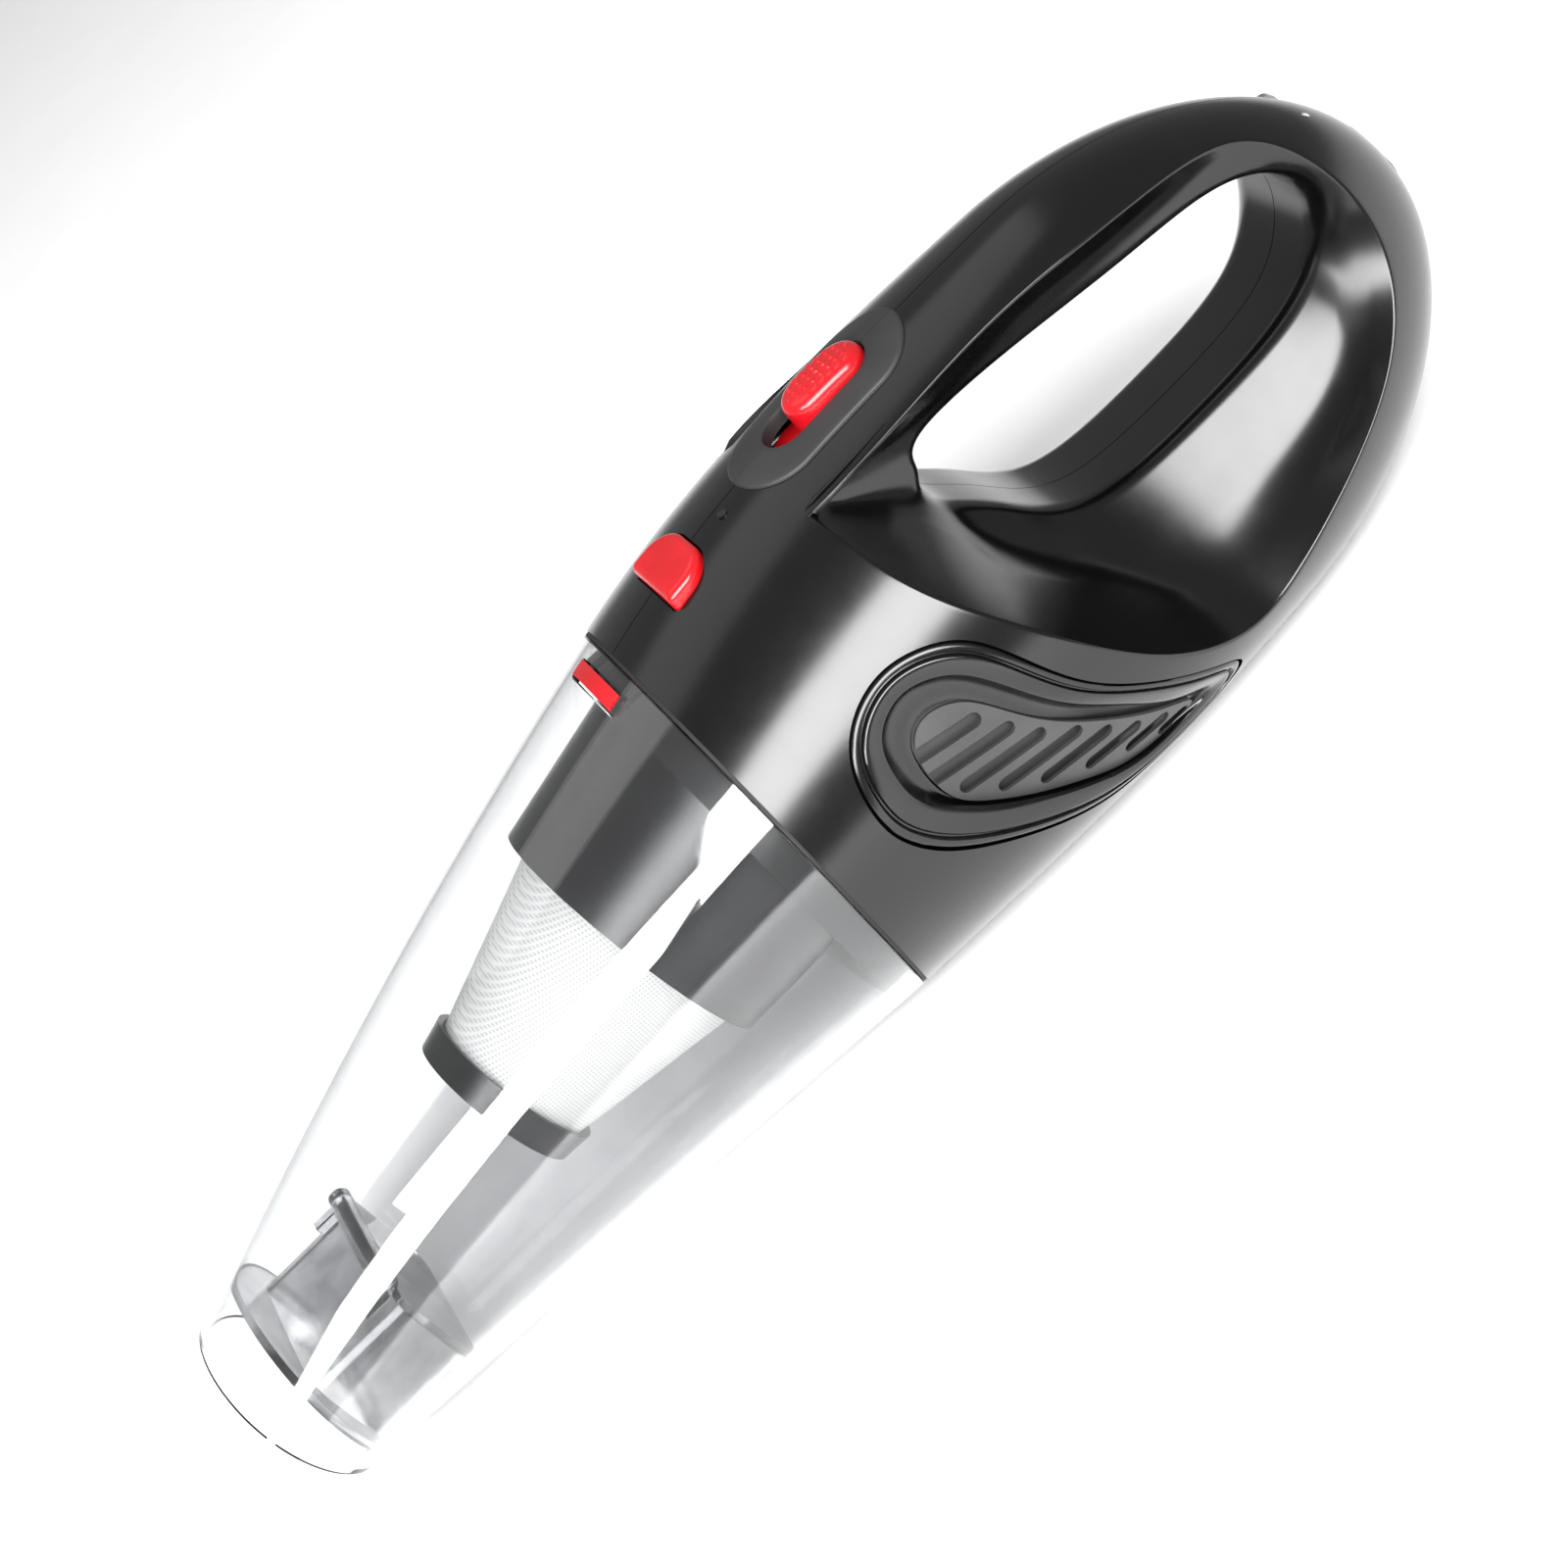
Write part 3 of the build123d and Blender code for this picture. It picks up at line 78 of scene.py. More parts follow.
casing_low, casing_high = box_mm("left_casing")
cup_low, cup_high = box_mm("dust_cup")
SEAM_X = casing_low[0]
BODY_LENGTH = casing_high[0] - SEAM_X
CUP_LENGTH = SEAM_X - cup_low[0]
SEAM_HALF_WIDTH = cup_high[1]
SEAM_HALF_HEIGHT = 51.1
BODY_HALF_HEIGHT = 57.4
BODY_RISE = 5.6
SIDE_SWELL = 2.0
CROWN = SEAM_HALF_HEIGHT + BODY_RISE + BODY_HALF_HEIGHT
PARTING_GAP = 0.13
print("seam at", round(SEAM_X, 2), "casing", round(BODY_LENGTH, 1), "cup", round(CUP_LENGTH, 1))

# %% [markdown]
# ## The camera
# A long lens from the left and a little above, rolled so that the nozzle points down and to
# the left. The roll is what makes the vacuum look as if it hangs across the picture.

# %% Camera
VIEW_HEIGHT = math.radians(34.0)
VIEW_TURN = math.radians(-1.5)
VIEW_ROLL = math.radians(43.25)
VIEW_DISTANCE = 600.0
AIM_BACK, AIM_HEIGHT = 7.3, 49.9
LENS = 64.4
aim = np.array([SEAM_X + AIM_BACK, 0.0, AIM_HEIGHT])
towards = np.array([
    math.sin(VIEW_TURN),
    -math.cos(VIEW_TURN) * math.cos(VIEW_HEIGHT),
    math.cos(VIEW_TURN) * math.sin(VIEW_HEIGHT),
])
level = np.cross([0.0, 0.0, 1.0], towards)
level = level / np.linalg.norm(level)
upright = np.cross(towards, level)
right = level * math.cos(VIEW_ROLL) - upright * math.sin(VIEW_ROLL)
above = level * math.sin(VIEW_ROLL) + upright * math.cos(VIEW_ROLL)
camera_data = bpy.data.cameras.new("camera")
camera_data.sensor_width = 36.0
camera_data.lens = LENS
camera = bpy.data.objects.new("camera", camera_data)
bpy.context.scene.collection.objects.link(camera)
place = np.eye(4)
place[:3, 0] = right
place[:3, 1] = above
place[:3, 2] = towards
place[:3, 3] = (aim + towards * VIEW_DISTANCE) * MM
camera.matrix_world = place.T.tolist()
bpy.context.scene.camera = camera
print("camera at", [round(value, 3) for value in place[:3, 3]])

# %% [markdown]
# ## Surfaces from numbers
# Each skin is a grid of points with two parameters, worked out as whole arrays. These helpers
# turn a grid into a mesh, close its seams and poles, and hang it on the body that it moves with.

# %% Mesh helpers


def grid_faces(rows, columns, wrap_rows, wrap_columns):
    """Quads of a rows by columns grid, wrapping round where the surface closes on itself."""
    row = np.arange(rows if wrap_rows else rows - 1)
    column = np.arange(columns if wrap_columns else columns - 1)
    row, column = np.meshgrid(row, column, indexing="ij")
    next_row = (row + 1) % rows
    next_column = (column + 1) % columns
    quads = np.stack([
        row * columns + column,
        next_row * columns + column,
        next_row * columns + next_column,
        row * columns + next_column,
    ], axis=-1)
    return quads.reshape(-1, 4)


def mesh_from_grids(name, grids):
    """One object from grids, each a (points, wrap rows, wrap columns, flip) tuple in mm."""
    points, quads, offset = [], [], 0
    for grid, wrap_rows, wrap_columns, flip in grids:
        rows, columns = grid.shape[:2]
        faces = grid_faces(rows, columns, wrap_rows, wrap_columns)
        quads.append((faces[:, ::-1] if flip else faces) + offset)
        points.append(grid.reshape(-1, 3))
        offset += rows * columns
    points = np.concatenate(points) * MM
    quads = np.concatenate(quads)
    mesh = bpy.data.meshes.new(name)
    mesh.vertices.add(len(points))
    mesh.vertices.foreach_set("co", points.astype(np.float32).ravel())
    mesh.loops.add(quads.size)
    mesh.loops.foreach_set("vertex_index", quads.astype(np.int32).ravel())
    mesh.polygons.add(len(quads))
    mesh.polygons.foreach_set("loop_start", np.arange(0, quads.size, 4, dtype=np.int32))
    mesh.update(calc_edges=True)
    piece = bpy.data.objects.new(name, mesh)
    bpy.context.scene.collection.objects.link(piece)
    merge_doubles(piece)
    return piece


SAME_PLACE = 0.004
TINY_EDGE = 0.002


def merge_doubles(piece):
    """Closes seams and poles, where grid points fall on the same place."""
    work = bmesh.new()
    work.from_mesh(piece.data)
    bmesh.ops.remove_doubles(work, verts=work.verts, dist=SAME_PLACE * MM)
    bmesh.ops.dissolve_degenerate(work, edges=work.edges, dist=TINY_EDGE * MM)
    work.to_mesh(piece.data)
    work.free()


def settle(piece):
    """Applies the modifiers, so that the mesh is final and the object stays plain."""
    graph = bpy.context.evaluated_depsgraph_get()
    mesh = bpy.data.meshes.new_from_object(piece.evaluated_get(graph))
    piece.modifiers.clear()
    piece.data = mesh
    mesh.name = piece.name


def thicken(piece, wall, offset=-1.0):
    """Gives a skin a real wall, inwards of the surface by default."""
    solidify = piece.modifiers.new("wall", "SOLIDIFY")
    solidify.thickness = wall * MM
    solidify.offset = offset
    settle(piece)


def cut(piece, cutter):
    """Takes a closed solid out of a piece and removes the solid."""
    boolean = piece.modifiers.new("cut", "BOOLEAN")
    boolean.operation = "DIFFERENCE"
    boolean.solver = "MANIFOLD"
    boolean.object = cutter
    settle(piece)
    bpy.data.objects.remove(cutter)


def finish_piece(piece, material, body, replaced=(), sharp=35.0):
    """Shades a piece, gives it its material, and hangs it on its body."""
    mesh = piece.data
    mesh.shade_smooth()
    mesh.set_sharp_from_angle(angle=math.radians(sharp))
    mesh.materials.clear()
    mesh.materials.append(material)
    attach(piece, body)
    if replaced:
        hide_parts(*replaced)
    print(piece.name, "faces", len(mesh.polygons))
    return piece


# %% [markdown]
# ## Curves
# Outlines are closed curves through a few chosen points, or straight runs joined by arcs.
# A profile is a bent line whose corners are rounded, so that every edge catches the light.

# %% Curve helpers


def smooth_loop(points, count, sharp_start=False):
    """Cubic spline through points in a closed loop, sampled count times.

    The second derivatives solve a tridiagonal system. With sharp_start the first point is a
    free corner, and otherwise the loop is smooth all the way round.
    """
    points = np.asarray(points, float)
    size = len(points)
    closed = np.vstack([points, points[:1]])
    system = np.zeros((size + 1, size + 1))
    target = np.zeros((size + 1, points.shape[1]))
    for index in range(1, size):
        system[index, index - 1:index + 2] = (1, 4, 1)
        target[index] = 6 * (closed[index - 1] - 2 * closed[index] + closed[index + 1])
    if sharp_start:
        system[0, 0] = 1
        system[size, size] = 1
    else:
        system[0, [0, 1, size - 1]] = (4, 1, 1)
        target[0] = 6 * (closed[size - 1] - 2 * closed[0] + closed[1])
        system[size, [0, size]] = (1, -1)
    bend = np.linalg.solve(system, target)
    along = np.linspace(0, size, count, endpoint=False)
    index = along.astype(int)
    part = (along - index)[:, None]
    start, end = closed[index], closed[index + 1]
    start_bend, end_bend = bend[index], bend[index + 1]
    rest = 1 - part
    return (
        start * rest + end * part
        + (rest ** 3 - rest) * start_bend / 6 + (part ** 3 - part) * end_bend / 6
    )


def arc_outline(corners, radii, count):
    """Closed outline of straight runs with an arc in each corner, evenly resampled."""
    corners = np.asarray(corners, float)
    path = []
    for index, corner in enumerate(corners):
        before = corners[index - 1] - corner
        after = corners[(index + 1) % len(corners)] - corner
        before = before / np.linalg.norm(before)
        after = after / np.linalg.norm(after)
        half = math.acos(np.clip(before @ after, -1, 1)) / 2
        reach = radii[index] / math.tan(half)
        middle = corner + (before + after) / np.linalg.norm(before + after) * (
            radii[index] / math.sin(half)
        )
        first = corner + before * reach - middle
        last = corner + after * reach - middle
        sweep = np.linspace(0, 1, 17)[:, None]
        turn = math.pi - 2 * half
        arc = (np.sin((1 - sweep) * turn) * first + np.sin(sweep * turn) * last) / math.sin(turn)
        path.append(middle + arc)
    path = np.concatenate(path)
    path = np.vstack([path, path[:1]])
    steps = np.r_[0, np.cumsum(np.linalg.norm(np.diff(path, axis=0), axis=1))]
    wanted = np.linspace(0, steps[-1], count, endpoint=False)
    return np.stack([np.interp(wanted, steps, path[:, axis]) for axis in (0, 1)], axis=-1)


def inset(outline, distance):
    """Outline moved inwards along its own normals. The outline runs anticlockwise."""
    run = np.roll(outline, -1, axis=0) - np.roll(outline, 1, axis=0)
    run = run / np.linalg.norm(run, axis=1, keepdims=True)
    return outline + np.stack([-run[:, 1], run[:, 0]], axis=-1) * distance


def rounded_profile(stations, radii, steps=6):
    """Rows of points along a bent line, each inner corner replaced by a quadratic curve.

    stations has shape (corners, columns, 3), and every column is its own bent line.
    """
    rows = [stations[0]]
    for index in range(1, len(stations) - 1):
        corner = stations[index]
        back = stations[index - 1] - corner
        ahead = stations[index + 1] - corner
        back_length = np.linalg.norm(back, axis=-1, keepdims=True)
        ahead_length = np.linalg.norm(ahead, axis=-1, keepdims=True)
        reach = np.minimum(radii[index - 1], 0.48 * np.minimum(back_length, ahead_length))
        first = corner + back / np.maximum(back_length, 1e-6) * reach
        last = corner + ahead / np.maximum(ahead_length, 1e-6) * reach
        for share in np.linspace(0, 1, steps):
            rows.append(
                (1 - share) ** 2 * first + 2 * share * (1 - share) * corner + share ** 2 * last
            )
    rows.append(stations[-1])
    return rows


# %% [markdown]
# ## The form of the casing and the cup
# Across the vacuum every section is an egg. The egg's half height, half width and middle
# change along the length by a few smooth curves. The cup's section is a plain ellipse.

# %% Form of the casing and the cup
FULLEST = 0.6
GROW_POWER = 2.6
WIDTH_POWER = 2.6
CLOSE_POWER = 1.93
RISE_POWER = 5
LEAN = 0.12
CUP_TOP_FALL = 39.8
CUP_TOP_BOW = 15.6
CUP_BOTTOM_RISE = 6.3
NOZZLE_HALF_WIDTH = 29.2


def casing_section(along):
    """Half width, half height, middle and lean of the egg at a share of the casing's length.

    The half height grows by a power curve up to the fullest place, then closes like a
    superellipse. The half width closes as the root of one minus a power of the share.
    """
    along = np.asarray(along, float)
    grow = 1 - np.clip(1 - along / FULLEST, 0, 1) ** GROW_POWER
    past = np.clip((along - FULLEST) / (1 - FULLEST), 0, 1)
    front = SEAM_HALF_HEIGHT + (BODY_HALF_HEIGHT - SEAM_HALF_HEIGHT) * grow
    rear = BODY_HALF_HEIGHT * np.clip(1 - past ** CLOSE_POWER, 0, 1) ** (1 / CLOSE_POWER)
    half_height = np.where(along < FULLEST, front, rear)
    middle = SEAM_HALF_HEIGHT + BODY_RISE * (1 - np.clip(1 - along, 0, 1) ** RISE_POWER)
    swell = SIDE_SWELL * np.sin(math.pi * np.clip(along / FULLEST, 0, 1))
    half_width = (SEAM_HALF_WIDTH + swell) * np.sqrt(np.clip(1 - along ** WIDTH_POWER, 0, 1))
    lean = LEAN * (1 - np.clip(1 - along, 0, 1) ** 2)
    return half_width, half_height, middle, lean


def casing_skin(reach, turn, side):
    """Point on the casing. reach runs 0 to 1 and slows down towards the tail, where the share
    of the length is one minus the square of what is left. turn is 0 at the top, pi below."""
    along = 1 - (1 - reach) ** 2
    half_width, half_height, middle, lean = casing_section(along)
    y = half_width * np.sin(turn) * (1 - lean * np.cos(turn))
    z = np.maximum(middle + half_height * np.cos(turn), 0.0)
    x = SEAM_X + along * BODY_LENGTH
    return np.stack([x, side * np.maximum(y, PARTING_GAP), z], axis=-1)


def casing_side(back, height, sink=0.0):
    """Half width of the casing at a distance behind the seam and a height, less a sink."""
    half_width, half_height, middle, lean = casing_section(back / BODY_LENGTH)
    share = np.clip((height - middle) / np.maximum(half_height, 1e-6), -1, 1)
    return half_width * np.sqrt(1 - share ** 2) * (1 - lean * share) - sink


def casing_top(back, across):
    """Height of the casing's top at a distance behind the seam and a distance across."""
    half_width, half_height, middle, lean = casing_section(back / BODY_LENGTH)
    turn = np.zeros_like(half_width * across)
    for _ in range(20):
        reach = half_width * (1 - lean * np.cos(turn))
        turn = np.arcsin(np.clip(np.abs(across) / reach, 0, 0.999))
    return middle + half_height * np.cos(turn)


def cup_section(ahead, wall=0.0):
    """Half width, half height and middle of the cup at a share of its length, less a wall."""
    top = 2 * SEAM_HALF_HEIGHT - CUP_TOP_FALL * ahead - CUP_TOP_BOW * ahead ** 2
    bottom = CUP_BOTTOM_RISE * ahead
    half_width = SEAM_HALF_WIDTH + (NOZZLE_HALF_WIDTH - SEAM_HALF_WIDTH) * ahead
    return half_width - wall, (top - bottom) / 2 - wall, (top + bottom) / 2


print("crown", round(CROWN, 1), "side at the vent", np.round(casing_side(40.0, 60.0), 1))

# %% [markdown]
# ## Materials
# A real finish starts from what the piece is made of. One function turns the hex colours of a
# paint chart into the linear values that a renderer adds up, and one function adds a node.
# Every pattern reads Object coordinates, in metres, so its scale comes from a real size.

# %% Material helpers


def linear(code, alpha=1.0):
    """Linear colour from an sRGB hex code."""
    channels = [int(code[index:index + 2], 16) / 255 for index in (1, 3, 5)]
    return tuple(
        value / 12.92 if value <= 0.04045 else ((value + 0.055) / 1.055) ** 2.4
        for value in channels
    ) + (alpha,)


def add(tree, kind, settings, links=None):
    """Adds a node, sets its properties or sockets by name, and links its sockets.

    The stops of a colour ramp are (position, linear colour) pairs.
    """
    node = tree.nodes.new(kind)
    for name, value in settings.items():
        if name == "stops":
            for element, (position, code) in zip(node.color_ramp.elements, value):
                element.position = position
                element.color = code
        elif isinstance(name, int) or name in node.inputs:
            node.inputs[name].default_value = value
        else:
            setattr(node, name, value)
    for name, source in (links or {}).items():
        tree.links.new(source, node.inputs[name])
    return node


def start_material(name):
    """An empty material's tree with Object coordinates and an output."""
    material = bpy.data.materials.new(name)
    material.use_nodes = True
    tree = material.node_tree
    tree.nodes.clear()
    place = add(tree, "ShaderNodeTexCoord", {}).outputs["Object"]
    output = add(tree, "ShaderNodeOutputMaterial", {})
    return material, tree, place, output


def per_metre(size_mm):
    """Noise scale whose features are about this many millimetres across."""
    return 1000.0 / size_mm


# sizes in millimetres of the slow patches in a moulding's colour and gloss
DRIFT_SIZE, WANDER_SIZE = 18, 6
PLASTIC_IOR = 1.53


def moulded(name, dark, light, rough, grain_mm, depth_mm, shader=None, rough_spread=0.06):
    """Moulded plastic: a slow colour drift, a roughness that wanders, and a fine grain."""
    material, tree, place, output = start_material(name)
    drift = add(
        tree, "ShaderNodeTexNoise", {"Scale": per_metre(DRIFT_SIZE), "Detail": 2.0}, {"Vector": place}
    )
    colour = add(
        tree, "ShaderNodeValToRGB", {"stops": ((0.35, linear(dark)), (0.65, linear(light)))},
        {"Fac": drift.outputs["Fac"]},
    )
    wander = add(
        tree, "ShaderNodeTexNoise", {"Scale": per_metre(WANDER_SIZE), "Detail": 3.0}, {"Vector": place}
    )
    roughness = add(
        tree, "ShaderNodeMapRange",
        {"To Min": rough - rough_spread / 2, "To Max": rough + rough_spread / 2},
        {"Value": wander.outputs["Fac"]},
    )
    grain = add(
        tree, "ShaderNodeTexNoise", {"Scale": per_metre(grain_mm), "Detail": 2.0},
        {"Vector": place},
    )
    bump = add(
        tree, "ShaderNodeBump", {"Strength": 1.0, "Distance": depth_mm * MM},
        {"Height": grain.outputs["Fac"]},
    )
    settings = {"IOR": PLASTIC_IOR}
    settings.update(shader or {})
    links = {
        "Base Color": colour.outputs["Color"],
        "Roughness": roughness.outputs["Result"],
        "Normal": bump.outputs["Normal"],
    }
    surface = add(tree, "ShaderNodeBsdfPrincipled", settings, links)
    tree.links.new(surface.outputs["BSDF"], output.inputs["Surface"])
    return material


# %% [markdown]
# ### Plastics
# The casing is ABS pressed against a polished steel tool, so it mirrors the room, slightly
# softened. The pad and the vent come from a spark-eroded tool, which leaves a fine grit.
# The cup is polycarbonate, the tough clear plastic of most dust cups.

# %% Plastic materials
polished_abs = moulded("polished_moulded_abs", "#030304", "#050506", 0.2, 2.5, 0.0004)
spark_abs = moulded("spark_textured_abs", "#1d1d1e", "#262627", 0.55, 0.35, 0.03)
vent_abs = moulded("spark_textured_vent_abs", "#2c2c2d", "#353536", 0.5, 0.4, 0.02)
inner_abs = moulded("plain_moulded_abs", "#0c0c0d", "#141415", 0.45, 0.8, 0.01)
filter_pp = moulded("moulded_polypropylene", "#08080a", "#101012", 0.3, 1.2, 0.004)
cage_pp = moulded("natural_polypropylene", "#d6d6d4", "#e4e4e2", 0.4, 1.0, 0.006)
red_abs = moulded("polished_red_abs", "#a40c14", "#b51018", 0.24, 2.0, 0.001)
rubber = moulded("moulded_nitrile_rubber", "#0a0a0a", "#121212", 0.7, 0.5, 0.02)
red_pvc = moulded("red_pvc_lead_sleeve", "#a30f12", "#b81518", 0.45, 1.0, 0.01)
black_pvc = moulded("black_pvc_lead_sleeve", "#0b0b0b", "#161616", 0.45, 1.0, 0.01)
nylon = moulded("glass_filled_nylon", "#b9b9b5", "#cfcfca", 0.5, 0.6, 0.02)
sleeve = moulded("pvc_shrink_sleeve", "#1a6f5e", "#1f7d69", 0.35, 1.5, 0.01)
solder_mask = moulded("solder_mask", "#0d4a2a", "#115a33", 0.3, 0.9, 0.01)


WIPE_SIZE, WIPE_SPREAD = 9, 0.04


def clear(name, tint, rough, ior):
    """Clear moulded plastic: light goes through, with faint wiping marks in its gloss."""
    material, tree, place, output = start_material(name)
    marks = add(
        tree, "ShaderNodeTexNoise", {"Scale": per_metre(WIPE_SIZE), "Detail": 4.0}, {"Vector": place}
    )
    roughness = add(
        tree, "ShaderNodeMapRange", {"To Min": rough, "To Max": rough + WIPE_SPREAD},
        {"Value": marks.outputs["Fac"]},
    )
    tone = add(
        tree, "ShaderNodeValToRGB", {"stops": ((0, linear(tint)), (1, linear("#ffffff")))},
        {"Fac": marks.outputs["Fac"]},
    )
    surface = add(
        tree, "ShaderNodeBsdfPrincipled", {"IOR": ior, "Transmission Weight": 1.0},
        {"Base Color": tone.outputs["Color"], "Roughness": roughness.outputs["Result"]},
    )
    tree.links.new(surface.outputs["BSDF"], output.inputs["Surface"])
    return material


clear_pc = clear("clear_moulded_polycarbonate", "#f2f4f6", 0.01, 1.58)
light_pipe = clear("clear_cast_acrylic", "#f2f2f2", 0.05, 1.49)
smoke_pc = clear("smoked_polycarbonate", "#8e9094", 0.12, 1.58)

# %% [markdown]
# ### Metals and mesh
# Zinc plating, drawn steel, nickel strip and enamelled copper differ in colour and in how
# their surface was worked. The filter's mesh is woven nylon: threads in two directions with
# holes between them, drawn at twice the real spacing so that the weave shows.

# %% Metal and mesh materials


WORN_SHADE = 0.8
STREAK_SIZE, STREAK_SPREAD, STREAK_DEPTH = 1.0, 0.08, 0.004


def metal(name, code, rough, stretch):
    """Worked metal: fine streaks along one direction, from noise squeezed along that axis."""
    material, tree, place, output = start_material(name)
    squeezed = add(tree, "ShaderNodeMapping", {"Scale": stretch}, {"Vector": place})
    streaks = add(
        tree, "ShaderNodeTexNoise", {"Scale": per_metre(STREAK_SIZE), "Detail": 3.0},
        {"Vector": squeezed.outputs["Vector"]},
    )
    roughness = add(
        tree, "ShaderNodeMapRange",
        {"To Min": rough - STREAK_SPREAD, "To Max": rough + STREAK_SPREAD},
        {"Value": streaks.outputs["Fac"]},
    )
    bump = add(
        tree, "ShaderNodeBump", {"Distance": STREAK_DEPTH * MM},
        {"Height": streaks.outputs["Fac"]},
    )
    worn = tuple(WORN_SHADE * value for value in linear(code)[:3]) + (1.0,)
    tone = add(
        tree, "ShaderNodeValToRGB", {"stops": ((0, worn), (1, linear(code)))},
        {"Fac": streaks.outputs["Fac"]},
    )
    surface = add(
        tree, "ShaderNodeBsdfPrincipled", {"Metallic": 1.0},
        {
            "Base Color": tone.outputs["Color"],
            "Roughness": roughness.outputs["Result"],
            "Normal": bump.outputs["Normal"],
        },
    )
    tree.links.new(surface.outputs["BSDF"], output.inputs["Surface"])
    return material


zinc_steel = metal("zinc_plated_steel", "#b9bcc0", 0.32, (1.0, 1.0, 1.0))
drawn_steel = metal("drawn_steel", "#a7a9ac", 0.3, (0.1, 1.0, 1.0))
nickel = metal("rolled_nickel_strip", "#c3bfb4", 0.3, (1.0, 1.0, 0.1))
copper = metal("enamelled_copper_windings", "#b4623a", 0.35, (1.0, 4.0, 4.0))


WAVE_STEP = 20.0


def woven(name, code, thread_mm):
    """Woven nylon: a thread in each direction, and the gaps between them let light through."""
    material, tree, place, output = start_material(name)
    waves = []
    for direction in ("X", "Z"):
        wave = add(
            tree, "ShaderNodeTexWave",
            {"wave_type": "BANDS", "bands_direction": direction,
             "Scale": per_metre(thread_mm) * math.tau / WAVE_STEP, "Distortion": 0.2},
            {"Vector": place},
        )
        waves.append(wave.outputs["Fac"])
    weave = add(tree, "ShaderNodeMath", {"operation": "MAXIMUM"})
    for index, wave in enumerate(waves):
        tree.links.new(wave, weave.inputs[index])
    bump = add(
        tree, "ShaderNodeBump", {"Distance": 0.1 * MM}, {"Height": weave.outputs["Value"]}
    )
    tone = add(
        tree, "ShaderNodeValToRGB", {"stops": ((0, linear("#b9b9b7")), (1, linear(code)))},
        {"Fac": weave.outputs["Value"]},
    )
    alpha = add(
        tree, "ShaderNodeMapRange", {"From Min": 0.2, "From Max": 0.8, "To Min": 0.9},
        {"Value": weave.outputs["Value"]},
    )
    surface = add(
        tree, "ShaderNodeBsdfPrincipled", {"IOR": PLASTIC_IOR},
        {
            "Base Color": tone.outputs["Color"],
            "Alpha": alpha.outputs["Result"],
            "Normal": bump.outputs["Normal"],
        },
    )
    surface.inputs["Roughness"].default_value = 0.6
    tree.links.new(surface.outputs["BSDF"], output.inputs["Surface"])
    return material


mesh_nylon = woven("woven_nylon_mesh", "#d8d8d6", 0.8)

# %% [markdown]
# ### The latch arm and the finish of every CAD piece
# The arm is moulded in two shots, black for the arm and red for its tooth. The colour changes
# at one height, so a comparison of the Z coordinate picks between the two.

# %% Two-shot latch arm
latch_two_shot = moulded("two_shot_moulded_abs", "#a40c14", "#b51018", 0.25, 2.0, 0.001)
tree = latch_two_shot.node_tree
colour = next(node for node in tree.nodes if node.type == "VALTORGB")
surface = next(node for node in tree.nodes if node.type == "BSDF_PRINCIPLED")
arm_high = box_mm("latch_arm")[1]
TOOTH_REACH = 4.2
place = add(tree, "ShaderNodeTexCoord", {}).outputs["Object"]
height = add(tree, "ShaderNodeSeparateXYZ", {}, {"Vector": place})
tip = add(
    tree, "ShaderNodeMath",
    {"operation": "GREATER_THAN", 1: (arm_high[2] - TOOTH_REACH) * MM}, {}
)
tree.links.new(height.outputs["Z"], tip.inputs[0])
two_shot = add(
    tree, "ShaderNodeMix", {"data_type": "RGBA", 6: linear("#0b0b0c")}, {}
)
tree.links.new(tip.outputs["Value"], two_shot.inputs[0])
tree.links.new(colour.outputs["Color"], two_shot.inputs[7])
tree.links.new(two_shot.outputs[2], surface.inputs["Base Color"])

# %% Finish of every CAD piece
FINISHES = {
    "gloss_casing": polished_abs, "matte_black": inner_abs, "clear_cup": clear_pc,
    "smoke_duct": smoke_pc, "rubber": rubber, "filter_black": filter_pp,
    "filter_mesh": mesh_nylon, "filter_cage": cage_pp, "red_plastic": red_abs,
    "steel": zinc_steel, "motor_steel": drawn_steel, "nickel": nickel, "copper": copper,
    "impeller": nylon, "cell_sleeve": sleeve, "board": solder_mask, "light_pipe": light_pipe,
    "lead_red": red_pvc, "lead_black": black_pvc,
}
for row in frame["record"]["subparts"]:
    node = frame["nodes"][row["node"]]
    node.data.materials.clear()
    node.data.materials.append(FINISHES[row["material_slot"]])
frame["nodes"]["latch_arm"].data.materials[0] = latch_two_shot
print("materials", len(bpy.data.materials))

# %% [markdown]
# ## Casing halves
# The casing is two ABS shells joined along the middle. Its big feature is the finger hole
# with a scooped recess on each side. One grid follows it all: from the hole's inside, over
# the recess floor, up its wall, over a small rounded edge, and out along the egg to the
# shell's border. Rays from the hole keep the rows and columns in order.

# %% The recess's three outlines
DISH_FRONT = 46.5
TAIL_THICKNESS = 19.0
DISH_LENGTH = BODY_LENGTH - DISH_FRONT - TAIL_THICKNESS
